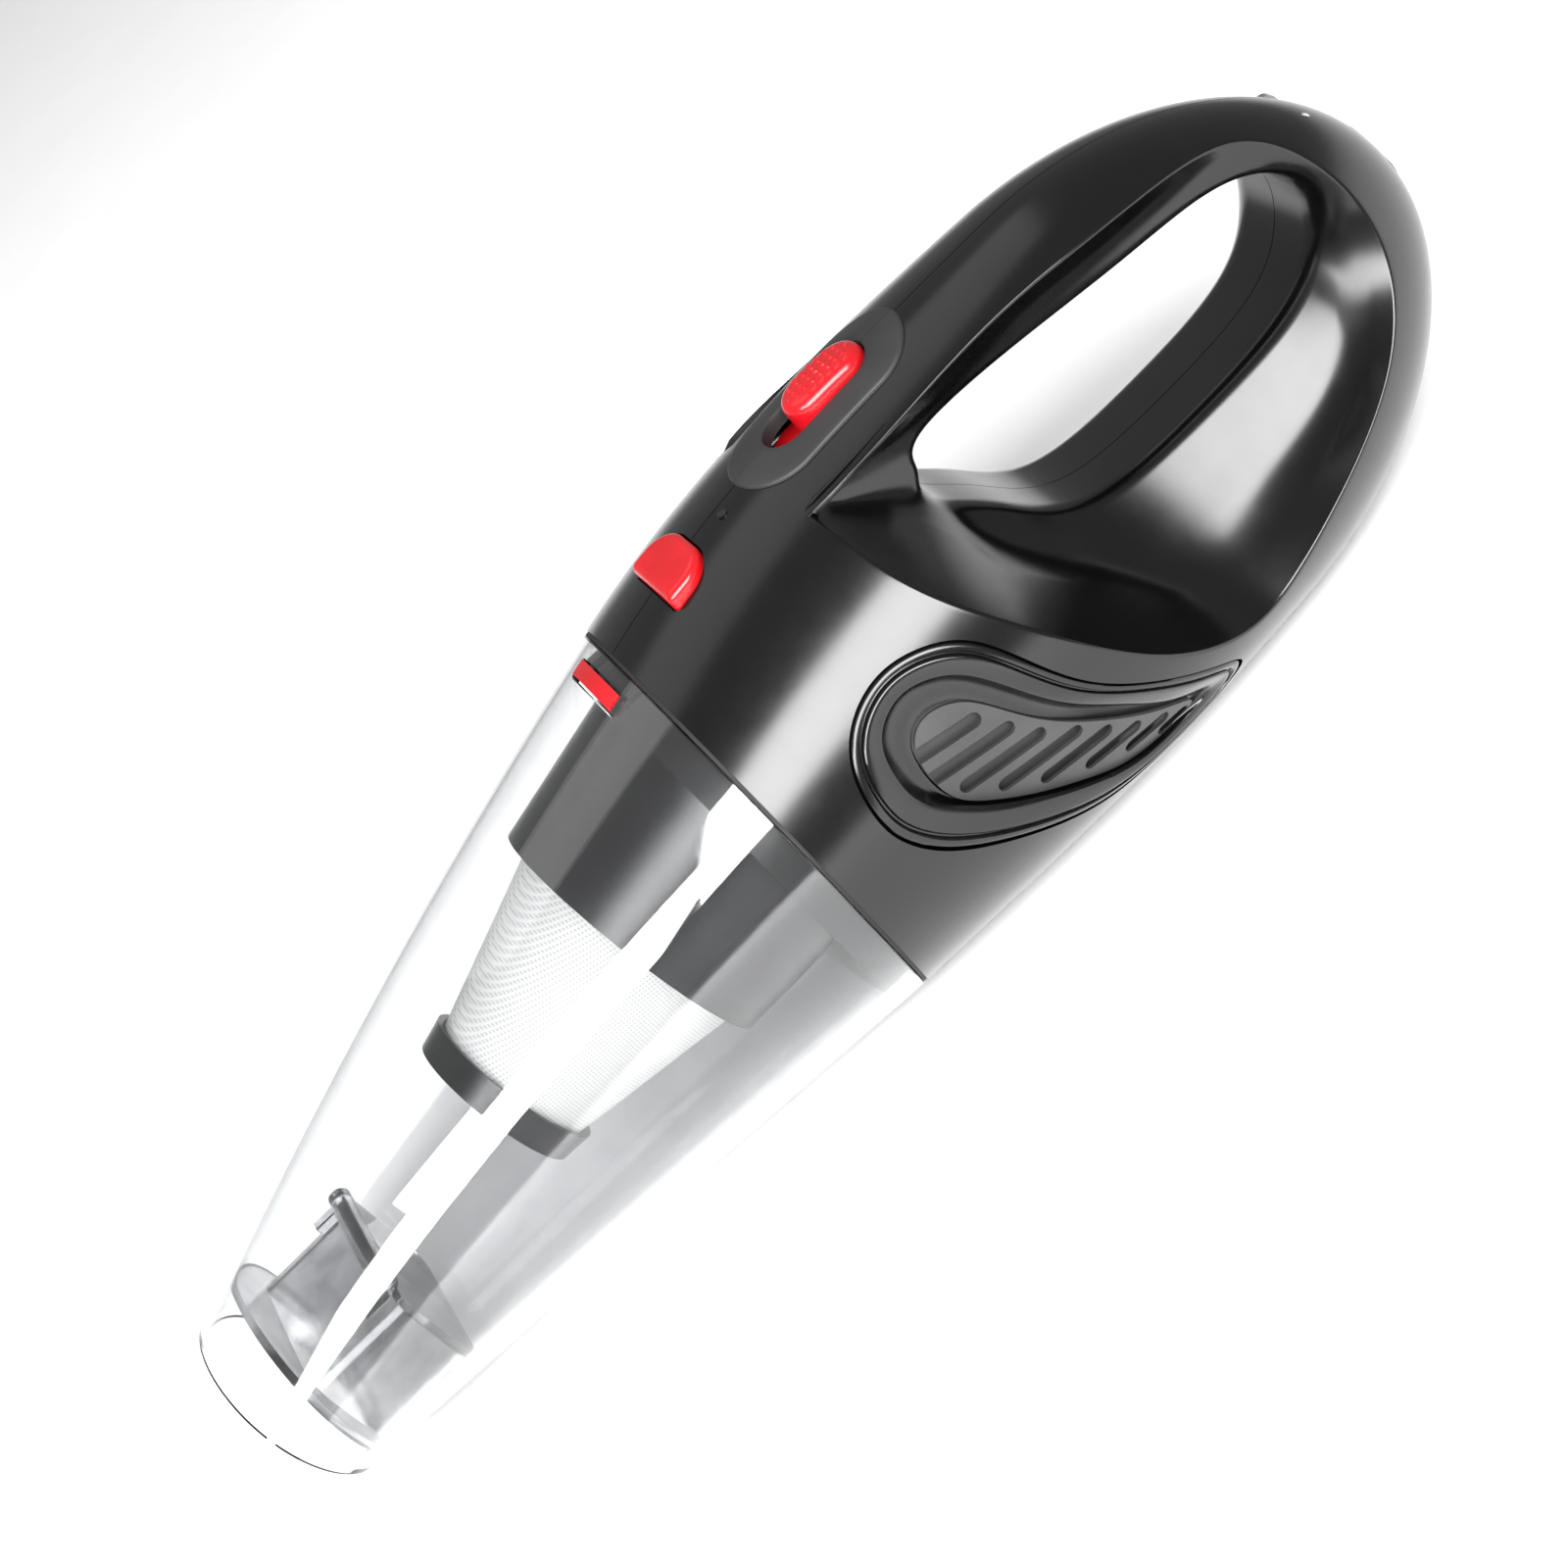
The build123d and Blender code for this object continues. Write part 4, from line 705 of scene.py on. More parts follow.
# hole edge, foot of the recess, foot's half width in mm, sharp outer edge
DISH_RAYS = [
    ((0.194, 0.789), (0.028, 0.903), 16.0, (0.000, 0.929)),
    ((0.241, 0.835), (0.217, 0.890), 15.2, (0.194, 0.940)),
    ((0.447, 0.826), (0.435, 0.888), 15.0, (0.423, 0.945)),
    ((0.668, 0.798), (0.672, 0.862), 14.4, (0.676, 0.918)),
    ((0.866, 0.767), (0.889, 0.806), 13.4, (0.909, 0.837)),
    ((0.964, 0.675), (0.978, 0.679), 17.0, (1.000, 0.679)),
    ((0.921, 0.552), (0.949, 0.526), 21.0, (0.988, 0.508)),
    ((0.802, 0.486), (0.826, 0.372), 26.0, (0.858, 0.359)),
    ((0.605, 0.469), (0.621, 0.313), 28.0, (0.621, 0.259)),
    ((0.383, 0.495), (0.415, 0.333), 27.5, (0.431, 0.223)),
    ((0.265, 0.614), (0.281, 0.465), 25.0, (0.257, 0.377)),
    ((0.194, 0.701), (0.186, 0.622), 21.7, (0.123, 0.609)),
    ((0.178, 0.754), (0.126, 0.780), 18.2, (0.032, 0.789)),
]
FINE = 2600
# the hole's edges stand this far apart at the grip, and spread below it
GRIP_HALF_WIDTH = 12.0
GRIP_HEIGHT = 95.0
HOLE_DRAFT = 0.05
shares = np.array([list(hole) + list(foot) + [half] + list(edge)
                   for hole, foot, half, edge in DISH_RAYS])
rays = smooth_loop(shares, FINE, sharp_start=True)
soft_rays = smooth_loop(shares, FINE)


def dish_place(share):
    """Distance behind the seam and height, from shares of the recess's length and the crown."""
    return share[..., 0] * DISH_LENGTH + DISH_FRONT, share[..., 1] * CROWN


hole_back, hole_height = dish_place(soft_rays[:, 0:2])
foot_back, foot_height = dish_place(soft_rays[:, 2:4])
foot_half = soft_rays[:, 4]
edge_back, edge_height = dish_place(rays[:, 5:7])
hole_half = GRIP_HALF_WIDTH + HOLE_DRAFT * (GRIP_HEIGHT - hole_height)
edge_along = edge_back / BODY_LENGTH
_, edge_half_height, edge_middle, _ = casing_section(edge_along)
edge_reach = 1 - np.sqrt(1 - edge_along)
edge_turn = np.arccos(np.clip((edge_height - edge_middle) / edge_half_height, -1, 1))
print("recess edge from", np.round(edge_back.min(), 1), "to", np.round(edge_back.max(), 1))

# %% Rays from the hole to the shell's border
CENTRE = np.array([0.39, 0.396])
LONG_SIDE, TAIL_SIDE = 120, 60
climb = np.linspace(0, 1, LONG_SIDE, endpoint=False)
fall = np.linspace(1, 0, LONG_SIDE, endpoint=False)
tail_fall = np.linspace(1, 0, TAIL_SIDE, endpoint=False)
seam_side = np.stack([np.zeros(LONG_SIDE), climb], axis=-1)
belly_side = np.stack([climb, np.ones(LONG_SIDE)], axis=-1)
tail_side = np.stack([np.ones(TAIL_SIDE), tail_fall], axis=-1)
top_side = np.stack([fall, np.zeros(LONG_SIDE)], axis=-1)
border = np.concatenate([seam_side, belly_side, tail_side, top_side])


def bearing(points):
    """Angle of each point round the centre of the rays."""
    return np.arctan2(points[:, 1] - CENTRE[1], points[:, 0] - CENTRE[0])


edge_plan = np.stack([edge_reach, edge_turn / math.pi], axis=-1)
edge_angle = np.unwrap(bearing(edge_plan))
order = np.argsort(edge_angle, kind="stable")
angle_sorted = edge_angle[order]
border_angle = bearing(border)
first_angle = angle_sorted[0]
border_angle = first_angle + np.mod(border_angle - first_angle, math.tau)
pick = np.interp(border_angle, angle_sorted, order.astype(float))
print("border columns", len(border))


def at(values):
    """Values of a fine loop at the picked places."""
    wrapped = np.append(values, values[0])
    return np.interp(pick, np.arange(FINE + 1), wrapped)


# %% Casing shells
SHELL_WALL = 2.0
EDGE_ROUND = 1.5
FLOOR_ROUND = 7.0
HOLE_ROUND = 3.0


def casing_grid(side):
    """Rows from the middle of the finger hole to the shell's border, one column per ray."""
    hole = np.stack([SEAM_X + at(hole_back), side * at(hole_half), at(hole_height)], axis=-1)
    middle = hole.copy()
    middle[:, 1] = side * PARTING_GAP
    foot = np.stack([SEAM_X + at(foot_back), side * at(foot_half), at(foot_height)], axis=-1)
    reach, turn = at(edge_reach), at(edge_turn)
    edge = casing_skin(reach, turn, side)
    border_reach, border_turn = border[:, 0], border[:, 1] * math.pi

    def skin(share):
        return casing_skin(
            reach + (border_reach - reach) * share, turn + (border_turn - turn) * share, side
        )

    step = np.linalg.norm(skin(np.full(len(reach), 0.02)) - edge, axis=-1) / 0.02
    start = np.clip(EDGE_ROUND / np.maximum(step, 1e-6), 0.0, 0.4)
    landing = skin(start)
    rows = rounded_profile(
        np.stack([middle, hole, foot, edge, landing]),
        [HOLE_ROUND, FLOOR_ROUND, EDGE_ROUND], steps=8,
    )
    rows = rows[:-1]
    for share in np.linspace(0, 1, 56) ** 1.25:
        rows.append(skin(start + (1 - start) * share))
    return np.stack(rows)


shells = {}
for side, name in ((-1, "casing_shell_left"), (1, "casing_shell_right")):
    shell = mesh_from_grids(name, [(casing_grid(side), False, True, side > 0)])
    thicken(shell, SHELL_WALL)
    shells[side] = shell
    print(name, "vertices", len(shell.data.vertices))

# %% [markdown]
# ## Openings in the casing
# The tool that moulds the shell has cores where the vent, the switch slot, the button, the
# charging socket and the screws go. Here each core is a closed solid that is taken out.

# %% Solids that cut the openings


def prism(name, outline, axis, start, end):
    """Closed solid: a plane outline carried along one axis, with a fan over each end."""
    rows = []
    middle = outline.mean(axis=0)
    for place, share in ((start, 0.0), (start, 1.0), (end, 1.0), (end, 0.0)):
        ring = middle + (outline - middle) * share
        rows.append(np.insert(ring, axis, place, axis=1))
    piece = mesh_from_grids(name, [(np.stack(rows), False, True, False)])
    work = bmesh.new()
    work.from_mesh(piece.data)
    bmesh.ops.recalc_face_normals(work, faces=work.faces)
    work.to_mesh(piece.data)
    work.free()
    return piece


def disc(radius, centre, count=40):
    """Circle as a closed outline."""
    turn = np.linspace(0, 2 * math.pi, count, endpoint=False)
    return np.asarray(centre) + radius * np.stack([np.cos(turn), np.sin(turn)], axis=-1)


def obround(length, width, centre, count=120):
    """Outline with straight sides and round ends, long along the first axis."""
    half_length, half_width = length / 2, width / 2
    corners = np.array([
        (-half_length, -half_width), (half_length, -half_width),
        (half_length, half_width), (-half_length, half_width),
    ]) + centre
    return arc_outline(corners, [half_width * 0.999] * 4, count)


# %% [markdown]
# ### Side vent outlines
# The vent is a drop: a round head near the seam and a tail that sweeps down and back. Three
# outlines shape it, the groove round it, the ridge where its bowl starts, and the flat plate.

# %% Side vent outlines
# distance behind the seam and height: groove, ridge, plate
VENT_POINTS = [
    ((14.0, 64.5), (22.3, 65.5), (27.9, 64.5)),
    ((16.9, 74.3), (24.4, 72.7), (29.8, 68.2)),
    ((24.3, 81.2), (29.7, 76.8), (32.8, 70.2)),
    ((35.2, 83.8), (36.0, 77.6), (36.3, 70.5)),
    ((45.9, 81.1), (42.4, 75.2), (40.0, 69.3)),
    ((52.9, 74.8), (47.4, 70.3), (43.7, 66.3)),
    ((58.0, 64.1), (52.0, 62.0), (47.6, 60.0)),
    ((64.5, 51.9), (58.0, 51.6), (53.3, 50.5)),
    ((75.5, 38.9), (67.0, 40.3), (62.5, 39.5)),
    ((87.0, 27.5), (76.0, 29.2), (72.5, 29.3)),
    ((93.5, 19.0), (84.0, 20.5), (80.0, 21.5)),
    ((86.0, 14.5), (76.0, 18.5), (73.0, 19.5)),
    ((70.0, 15.5), (64.0, 21.0), (62.0, 22.0)),
    ((55.0, 20.0), (53.0, 28.0), (52.3, 29.2)),
    ((42.0, 28.5), (42.5, 37.0), (41.8, 38.0)),
    ((31.0, 37.5), (33.0, 45.8), (33.4, 45.9)),
    ((21.0, 47.0), (26.0, 54.3), (28.6, 52.0)),
    ((15.3, 56.0), (22.8, 60.2), (27.2, 58.5)),
]
VENT_COLUMNS = 260
vent_loops = smooth_loop(
    np.array([list(groove) + list(ridge) + list(plate) for groove, ridge, plate in VENT_POINTS]),
    VENT_COLUMNS,
)
groove_loop, ridge_loop, plate_loop = vent_loops[:, 0:2], vent_loops[:, 2:4], vent_loops[:, 4:6]
print("vent from", np.round(groove_loop.min(0), 1), "to", np.round(groove_loop.max(0), 1))

# %% Cut the openings
SLOT_FRONT, SLOT_LENGTH, SLOT_WIDTH = 51.5, 28.0, 13.0
BUTTON_FRONT, BUTTON_LENGTH, BUTTON_HALF_WIDTH = 15.0, 12.0, 10.8
BUTTON_GAP = 0.4
slot_middle = (SEAM_X + SLOT_FRONT + SLOT_LENGTH / 2, 0.0)


def button_outline(grow, count=160):
    """Straight edge towards the nozzle, round corners towards the tail."""
    front = SEAM_X + BUTTON_FRONT - grow
    rear = SEAM_X + BUTTON_FRONT + BUTTON_LENGTH + grow
    half = BUTTON_HALF_WIDTH + grow
    corners = [(front, -half), (rear, -half), (rear, half), (front, half)]
    return arc_outline(corners, [1.6, 7.4, 7.4, 1.6], count)


socket_low, socket_high = box_mm("charge_socket")
socket_middle = (socket_low + socket_high) / 2
SCREW_PLACES = [
    (47.0, 13.5), (DISH_FRONT - 4.5, 91.0), (DISH_FRONT + 0.84 * DISH_LENGTH, 0.255 * CROWN),
    (BODY_LENGTH - TAIL_THICKNESS / 2 - 3.0, 83.0),
]
SCREW_HOLE, SCREW_SEAT = 3.1, 4.5
BAR_SCREW_SEAT = 8.7
SOCKET_HOLE = 4.75
SLOT_ROOM = 3.0
VENT_CORE_START, CORE_OVERSHOOT = 28.0, 12.0
BAR_SCREW = (DISH_FRONT + 0.565 * DISH_LENGTH, CROWN - 11.5)
for side, shell in shells.items():
    groove = groove_loop + np.array([SEAM_X, 0.0])
    far = side * (SEAM_HALF_WIDTH + CORE_OVERSHOOT)
    cut(shell, prism("vent_core", groove, 1, side * VENT_CORE_START, far))
    slot_room = obround(SLOT_LENGTH + SLOT_ROOM, SLOT_WIDTH + SLOT_ROOM, slot_middle)
    cut(shell, prism("slot_core", slot_room, 2, CROWN - 16, CROWN + 8))
    cut(shell, prism("button_core", button_outline(BUTTON_GAP), 2, CROWN - 22, CROWN + 4))
    cut(shell, prism("socket_core", disc(SOCKET_HOLE, socket_middle[1:]), 0,
                     socket_low[0], casing_high[0] + 5))
for back, height in SCREW_PLACES:
    reach = float(casing_side(back, height))
    cut(shells[1], prism("screw_core", disc(SCREW_HOLE, (SEAM_X + back, height)), 1,
                         reach - SCREW_SEAT, reach + 8))
bar_hole = disc(SCREW_HOLE, (SEAM_X + BAR_SCREW[0], BAR_SCREW[1]))
cut(shells[1], prism("screw_core", bar_hole, 1, BAR_SCREW_SEAT, 40.0))
finish_piece(shells[-1], polished_abs, "casing", ["left_casing"])
finish_piece(shells[1], polished_abs, "casing", ["right_casing"])

# %% [markdown]
# ## Side vents
# Air from the motor leaves here. A groove and a raised lip run round a shallow bowl, and the
# bowl's floor is a plate with slanted slots. The bowl is deep at the head and runs out at the
# tail, so the depth of its floor falls with the distance behind the seam.

# %% Vent bowls
PLATE_DEPTH_HEAD = 5.2
PLATE_DEPTH_TAIL = 2.2
PLATE_FRONT, PLATE_LENGTH = 28.0, 52.0
BOWL_WALL = 0.8


def plate_sink(back):
    """Depth of the plate below the skin, falling evenly from the head to the tail."""
    share = np.clip((back - PLATE_FRONT) / PLATE_LENGTH, 0, 1)
    return PLATE_DEPTH_HEAD + (PLATE_DEPTH_TAIL - PLATE_DEPTH_HEAD) * share


plate_depth = plate_sink(plate_loop[:, 0])


def on_side(plan, depth, side):
    """Points of a side-view outline put on the casing's skin, sunk by a depth."""
    y = casing_side(plan[..., 0], plan[..., 1], depth)
    return np.stack([SEAM_X + plan[..., 0], side * y, plan[..., 1]], axis=-1)


# share of the way from groove to ridge, and depth below the skin
LIP_PROFILE = [
    (0.02, 3.2), (0.02, 1.2), (0.05, 1.0), (0.08, 0.35), (0.13, 0.08), (0.20, 0.02),
    (0.27, 0.1), (0.31, 0.5), (0.34, 0.95), (0.38, 0.95), (0.41, 0.45), (0.45, 0.2),
    (0.5, 0.22), (0.6, 0.42), (0.7, 0.66), (0.8, 0.92), (0.9, 1.2), (0.96, 1.45), (1.0, 1.75),
]
RIDGE_DEPTH = LIP_PROFILE[-1][1]
PLATE_OVERLAP = 0.9


def bowl_grid(side):
    """Rows from the groove over the lip and the band, then down the wall to the plate."""
    rows = []
    for share, depth in LIP_PROFILE:
        plan = groove_loop + (ridge_loop - groove_loop) * share
        rows.append(on_side(plan, depth, side))
    for share in np.linspace(0.08, 1, 14):
        plan = ridge_loop + (plate_loop - ridge_loop) * share
        drop = plate_depth + PLATE_OVERLAP - RIDGE_DEPTH
        fall = RIDGE_DEPTH + drop * np.sin(share * math.pi / 2) ** 0.9
        rows.append(on_side(plan, fall, side))
    return np.stack(rows)


for side, word in ((-1, "left"), (1, "right")):
    bowl = mesh_from_grids("vent_bowl_" + word, [(bowl_grid(side), False, True, side > 0)])
    thicken(bowl, BOWL_WALL)
    finish_piece(bowl, polished_abs, "casing")

# %% [markdown]
# ### Vent plates
# Eight slots dip towards the tail. A second plate close behind them stands for the slanted
# vanes that turn the air down, so from outside the slots look shallow and dark.

# %% Vent plates
LOUVRES = [
    (15.0, 31.0, 64.0), (13.0, 35.0, 58.0), (18.0, 39.0, 51.6), (24.0, 45.0, 45.2),
    (31.5, 50.0, 38.8), (40.5, 55.5, 32.4), (49.5, 61.5, 26.6), (57.5, 66.0, 21.6),
]
LOUVRE_WIDTH = 3.3
LOUVRE_FALL = math.radians(9.0)
# the plate's middle line, from the drop's head to its tail
SPINE_START = np.array([42.0, 55.0])
SPINE_WAY = np.array([0.75, -0.66])
SPINE_LENGTH = 34.0
VANE_SINK = 1.9
PLATE_WALL, VANE_WALL = 1.0, 0.8


def plate_grid(side, extra):
    """Plate from its outline to its middle line, following the skin at the bowl's depth.

    The middle line starts at SPINE_START. Each outline point runs to the nearest place on it.
    """
    spine = np.clip((plate_loop - SPINE_START) @ SPINE_WAY, 0, SPINE_LENGTH)[:, None]
    centre = SPINE_START + spine * SPINE_WAY
    rows = []
    for share in np.linspace(0.0, 1.0, 14):
        plan = plate_loop + (centre - plate_loop) * (0.03 + 0.97 * share)
        rows.append(on_side(plan, plate_sink(plan[:, 0]) + extra, side))
    return np.stack(rows)


for side, word in ((-1, "left"), (1, "right")):
    name = "vent_plate_" + word
    plate = mesh_from_grids(name, [(plate_grid(side, 0.0), False, True, side > 0)])
    thicken(plate, PLATE_WALL)
    for front, rear, height in LOUVRES:
        slot = obround(rear - front, LOUVRE_WIDTH, (0.0, 0.0), 48)
        turned = np.stack([
            slot[:, 0] * math.cos(LOUVRE_FALL) + slot[:, 1] * math.sin(LOUVRE_FALL),
            -slot[:, 0] * math.sin(LOUVRE_FALL) + slot[:, 1] * math.cos(LOUVRE_FALL),
        ], axis=-1)
        turned = turned + np.array([(front + rear) / 2, height])
        cut(plate, prism("louvre_core", turned, 1, side * 20.0, side * 70.0))
    finish_piece(plate, vent_abs, "casing", ["vent_grille_" + word])
    vane = mesh_from_grids(
        "vent_vanes_" + word, [(plate_grid(side, VANE_SINK), False, True, side > 0)]
    )
    thicken(vane, VANE_WALL)
    finish_piece(vane, spark_abs, "casing")

# %% [markdown]
# ## Switch pad
# A slightly raised pad frames the slide switch. It is moulded in two halves with the shells,
# so the parting line runs through it, and its spark texture stops a thumb from slipping.

# %% Switch pad
PAD_FRONT, PAD_REAR, PAD_HALF_WIDTH, PAD_PROUD = 41.5, 89.0, 13.5, 0.85
PAD_COLUMNS = 200
PAD_WALL = 0.6


def pad_grid(side):
    """Rows from under the pad's rim, over it, across to the slot and down the slot's wall."""
    outer = obround(
        PAD_REAR - PAD_FRONT, 2 * PAD_HALF_WIDTH, (SEAM_X + (PAD_FRONT + PAD_REAR) / 2, 0.0),
        2 * PAD_COLUMNS,
    )
    inner = obround(SLOT_LENGTH, SLOT_WIDTH, slot_middle, 2 * PAD_COLUMNS)
    keep = np.argsort(np.mod(np.arctan2(outer[:, 1], outer[:, 0] - slot_middle[0]), 2 * math.pi))
    outer, inner = outer[keep][:PAD_COLUMNS], inner[keep][:PAD_COLUMNS]
    outer[[0, -1], 1] = 0.0
    inner[[0, -1], 1] = 0.0
    rows = []
    for share, proud in (
        (0.0, -0.4), (0.0, 0.3), (0.01, 0.55), (0.035, 0.75), (0.08, PAD_PROUD),
        (0.3, PAD_PROUD), (0.6, PAD_PROUD), (0.85, PAD_PROUD), (0.93, 0.8), (0.98, 0.6),
        (1.0, 0.2), (1.0, -1.2), (1.0, -2.6),
    ):
        plan = outer + (inner - outer) * share
        z = casing_top(plan[:, 0] - SEAM_X, plan[:, 1]) + proud
        rows.append(np.stack([plan[:, 0], side * np.maximum(plan[:, 1], PARTING_GAP), z], -1))
    return np.stack(rows)


for side, word in ((-1, "left"), (1, "right")):
    pad = mesh_from_grids("switch_pad_" + word, [(pad_grid(side), False, False, side > 0)])
    thicken(pad, PAD_WALL)
    finish_piece(pad, spark_abs, "casing")

# %% [markdown]
# ## Button and slide switch
# Both are red ABS. The button's top follows the casing's slope and has a polished bevel. The
# slider's cap is crowned, with rows of small raised dots for grip.

# %% Solid caps from an outline


def cap_grid(outline, profile, height, shrink_rows=18):
    """Closed cap: rows up the wall by (inset, height) pairs, then over the top to its middle.

    height(plan) adds the shape of the top to every row above the foot.
    """
    rows = []
    middle = outline.mean(axis=0)
    foot = outline[:, 0:2] * 0 + middle
    rows.append(np.insert(foot, 2, profile[0][1], axis=1))
    for draw_in, rise in profile:
        plan = inset(outline, draw_in)
        z = rise + height(plan) if rise > profile[0][1] else np.full(len(plan), rise)
        rows.append(np.insert(plan, 2, z, axis=1))
    last = inset(outline, profile[-1][0])
    for share in np.linspace(0, 1, shrink_rows)[1:]:
        plan = last + (middle - last) * share
        rows.append(np.insert(plan, 2, profile[-1][1] + height(plan), axis=1))
    return np.stack(rows)


# %% Release button
button_low, button_high = box_mm("release_button")
BUTTON_SLOPE = 0.12


def button_rise(plan):
    """The top climbs towards the tail with the casing."""
    return (plan[:, 0] - SEAM_X - BUTTON_FRONT - BUTTON_LENGTH) * BUTTON_SLOPE


top = button_high[2]
button_profile = [
    (0.0, button_low[2]), (0.0, top - 1.7), (0.1, top - 1.15), (0.42, top - 0.6),
    (0.9, top - 0.22), (1.35, top - 0.06), (1.6, top),
]
button = mesh_from_grids(
    "release_button_cap", [(cap_grid(button_outline(0.0), button_profile, button_rise),
                            False, True, True)]
)
finish_piece(button, red_abs, "latch", ["release_button"], sharp=50)

# %% Slide switch
slider_low, slider_high = box_mm("switch_slider")
slider_middle = (slider_low + slider_high) / 2
CAP_LENGTH, CAP_WIDTH = 20.5, 12.2
DOT_PITCH, DOT_RADIUS, DOT_HEIGHT = 2.1, 0.62, 0.34
DOT_FIELD = 4.2
CAP_CROWN = 0.9


def slider_rise(plan):
    """Crowned along and across, plus round dots on a square lattice away from the rim."""
    along = (plan[:, 0] - slider_middle[0]) / (CAP_LENGTH / 2)
    across = plan[:, 1] / (CAP_WIDTH / 2)
    crown = -CAP_CROWN * (0.6 * along ** 2 + 0.4 * across ** 2)
    cell_x = np.mod(plan[:, 0] - slider_middle[0] + DOT_PITCH / 2, DOT_PITCH) - DOT_PITCH / 2
    cell_y = np.mod(plan[:, 1] + DOT_PITCH / 2, DOT_PITCH) - DOT_PITCH / 2
    near = np.clip(1 - (cell_x ** 2 + cell_y ** 2) / DOT_RADIUS ** 2, 0, 1)
    past_end = np.maximum(np.abs(plan[:, 0] - slider_middle[0]) - DOT_FIELD, 0)
    inside = np.hypot(past_end, plan[:, 1]) < DOT_FIELD
    return crown + DOT_HEIGHT * np.sqrt(near) * inside


slider_top = slider_high[2] - DOT_HEIGHT
slider_profile = [
    (0.0, slider_low[2]), (0.0, slider_top - 2.2), (0.12, slider_top - 1.5),
    (0.5, slider_top - 0.8), (1.1, slider_top - 0.3), (1.7, slider_top - 0.08),
    (2.2, slider_top),
]
cap_outline = obround(CAP_LENGTH, CAP_WIDTH, slider_middle[:2], 200)
plate_outline = obround(
    slider_high[0] - slider_low[0], slider_high[1] - slider_low[1], slider_middle[:2], 120
)
slider = mesh_from_grids("switch_cap", [
    (cap_grid(cap_outline, slider_profile, slider_rise, 44), False, True, True),
    (cap_grid(plate_outline, [(0.0, slider_low[2]), (0.0, slider_low[2] + 1.4),
                              (0.2, slider_low[2] + 1.6)], lambda plan: 0.0 * plan[:, 0], 3),
     False, True, True),
])
finish_piece(slider, red_abs, "slider", ["switch_slider"], sharp=50)

# %% [markdown]
# ## Latch spring
# A coil of spring steel wire pushes the latch back up. The wire is a tube
# along a helix: the helix turns once per pitch, and the tube's circle stands square to it.

# %% Latch spring
SPRING_WIRE, SPRING_TURNS = 0.45, 4
spring_low, spring_high = box_mm("latch_spring")


def spring_grid():
    """Tube round a helix, closed to a point at each end of the wire."""
    wire = SPRING_WIRE / 2
    coil = (spring_high[1] - spring_low[1]) / 2 - wire
    rise = spring_high[2] - spring_low[2] - 2 * wire
    share = np.linspace(0, 1, 40 * SPRING_TURNS)
    share = np.r_[0.0, share, 1.0][:, None, None]
    girth = np.linspace(0, math.tau, 12, endpoint=False)[None, :, None]
    swell = np.full(share.shape, wire)
    swell[[0, -1]] = 0.0
    turn = math.tau * SPRING_TURNS * share
    outward = np.concatenate([np.cos(turn), np.sin(turn), 0 * turn], axis=-1)
    run = np.concatenate(
        [-coil * np.sin(turn), coil * np.cos(turn), rise / (math.tau * SPRING_TURNS) + 0 * turn],
        axis=-1,
    )
    run = run / np.linalg.norm(run, axis=-1, keepdims=True)
    square = np.cross(run, outward)
    middle = (spring_low + spring_high) / 2
    centre = np.array([middle[0], 0.0, spring_low[2] + wire])
    line = centre + coil * outward + np.array([0.0, 0.0, rise]) * share
    return line + swell * (np.cos(girth) * outward + np.sin(girth) * square)


spring = mesh_from_grids("latch_coil", [(spring_grid(), False, True, False)])
spring.data.shade_smooth()
spring.data.materials.append(zinc_steel)
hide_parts("latch_spring")
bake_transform(spring)
print(spring.name, "faces", len(spring.data.polygons))

# %% [markdown]
# ## Dust cup
# The cup tapers from the seam to a raked mouth. Its wall is one closed surface: out along the
# outside, round the lip, back along the inside and round the rear rim. The lip lies on a
# sloping plane, so each column ends where it meets that plane, found in a few steps.

# %% Dust cup
CUP_WALL = 2.2
NOZZLE_RAKE = math.radians(17.0)
LIP_HEIGHT = 46.8
CUP_COLUMNS = 256
# shares of the length by which the outside and inside stop short, to round the rims
REAR_EASE, LIP_EASE = 0.0012, 0.0021
RIM_FIRST, RIM_LAST = 0.7, 1.5
around = np.linspace(0, 2 * math.pi, CUP_COLUMNS, endpoint=False)


def cup_point(ahead, wall):
    """Point of the cup at a share of its length, on the skin drawn in by a wall."""
    half_width, half_height, middle = cup_section(ahead, wall)
    return np.stack([
        SEAM_X - ahead * CUP_LENGTH,
        half_width * np.sin(around),
        middle + half_height * np.cos(around),
    ], axis=-1)


def mouth_share(wall):
    """Share of the length at which each column reaches the raked mouth."""
    ahead = np.ones(CUP_COLUMNS)
    for _ in range(12):
        z = cup_point(ahead, wall)[:, 2]
        ahead = 1 - (LIP_HEIGHT - z) * math.tan(NOZZLE_RAKE) / CUP_LENGTH
    return ahead


rear_share = (SEAM_X - cup_high[0]) / CUP_LENGTH
rows = []
for wall, shares_along in ((0.0, np.linspace(0, 1, 40)), (CUP_WALL, np.linspace(1, 0, 40))):
    end = mouth_share(wall)
    for share in shares_along:
        ease = {0.0: REAR_EASE, 1.0: -LIP_EASE}.get(share, 0.0)
        rows.append(cup_point(rear_share + (end - rear_share) * share + ease, wall))
    if wall == 0.0:
        for sunk in (RIM_FIRST, RIM_LAST):
            rows.append(cup_point(mouth_share(sunk), sunk))
for sunk in (RIM_LAST, RIM_FIRST):
    rows.append(cup_point(np.full(CUP_COLUMNS, rear_share), sunk))
cup = mesh_from_grids("cup_shell", [(np.stack(rows), True, True, True)])
tooth_low, tooth_high = box_mm("latch_arm")
WINDOW_GAP = 0.4
TOOTH_LENGTH = 3.6
WINDOW_FLOOR = 75.0
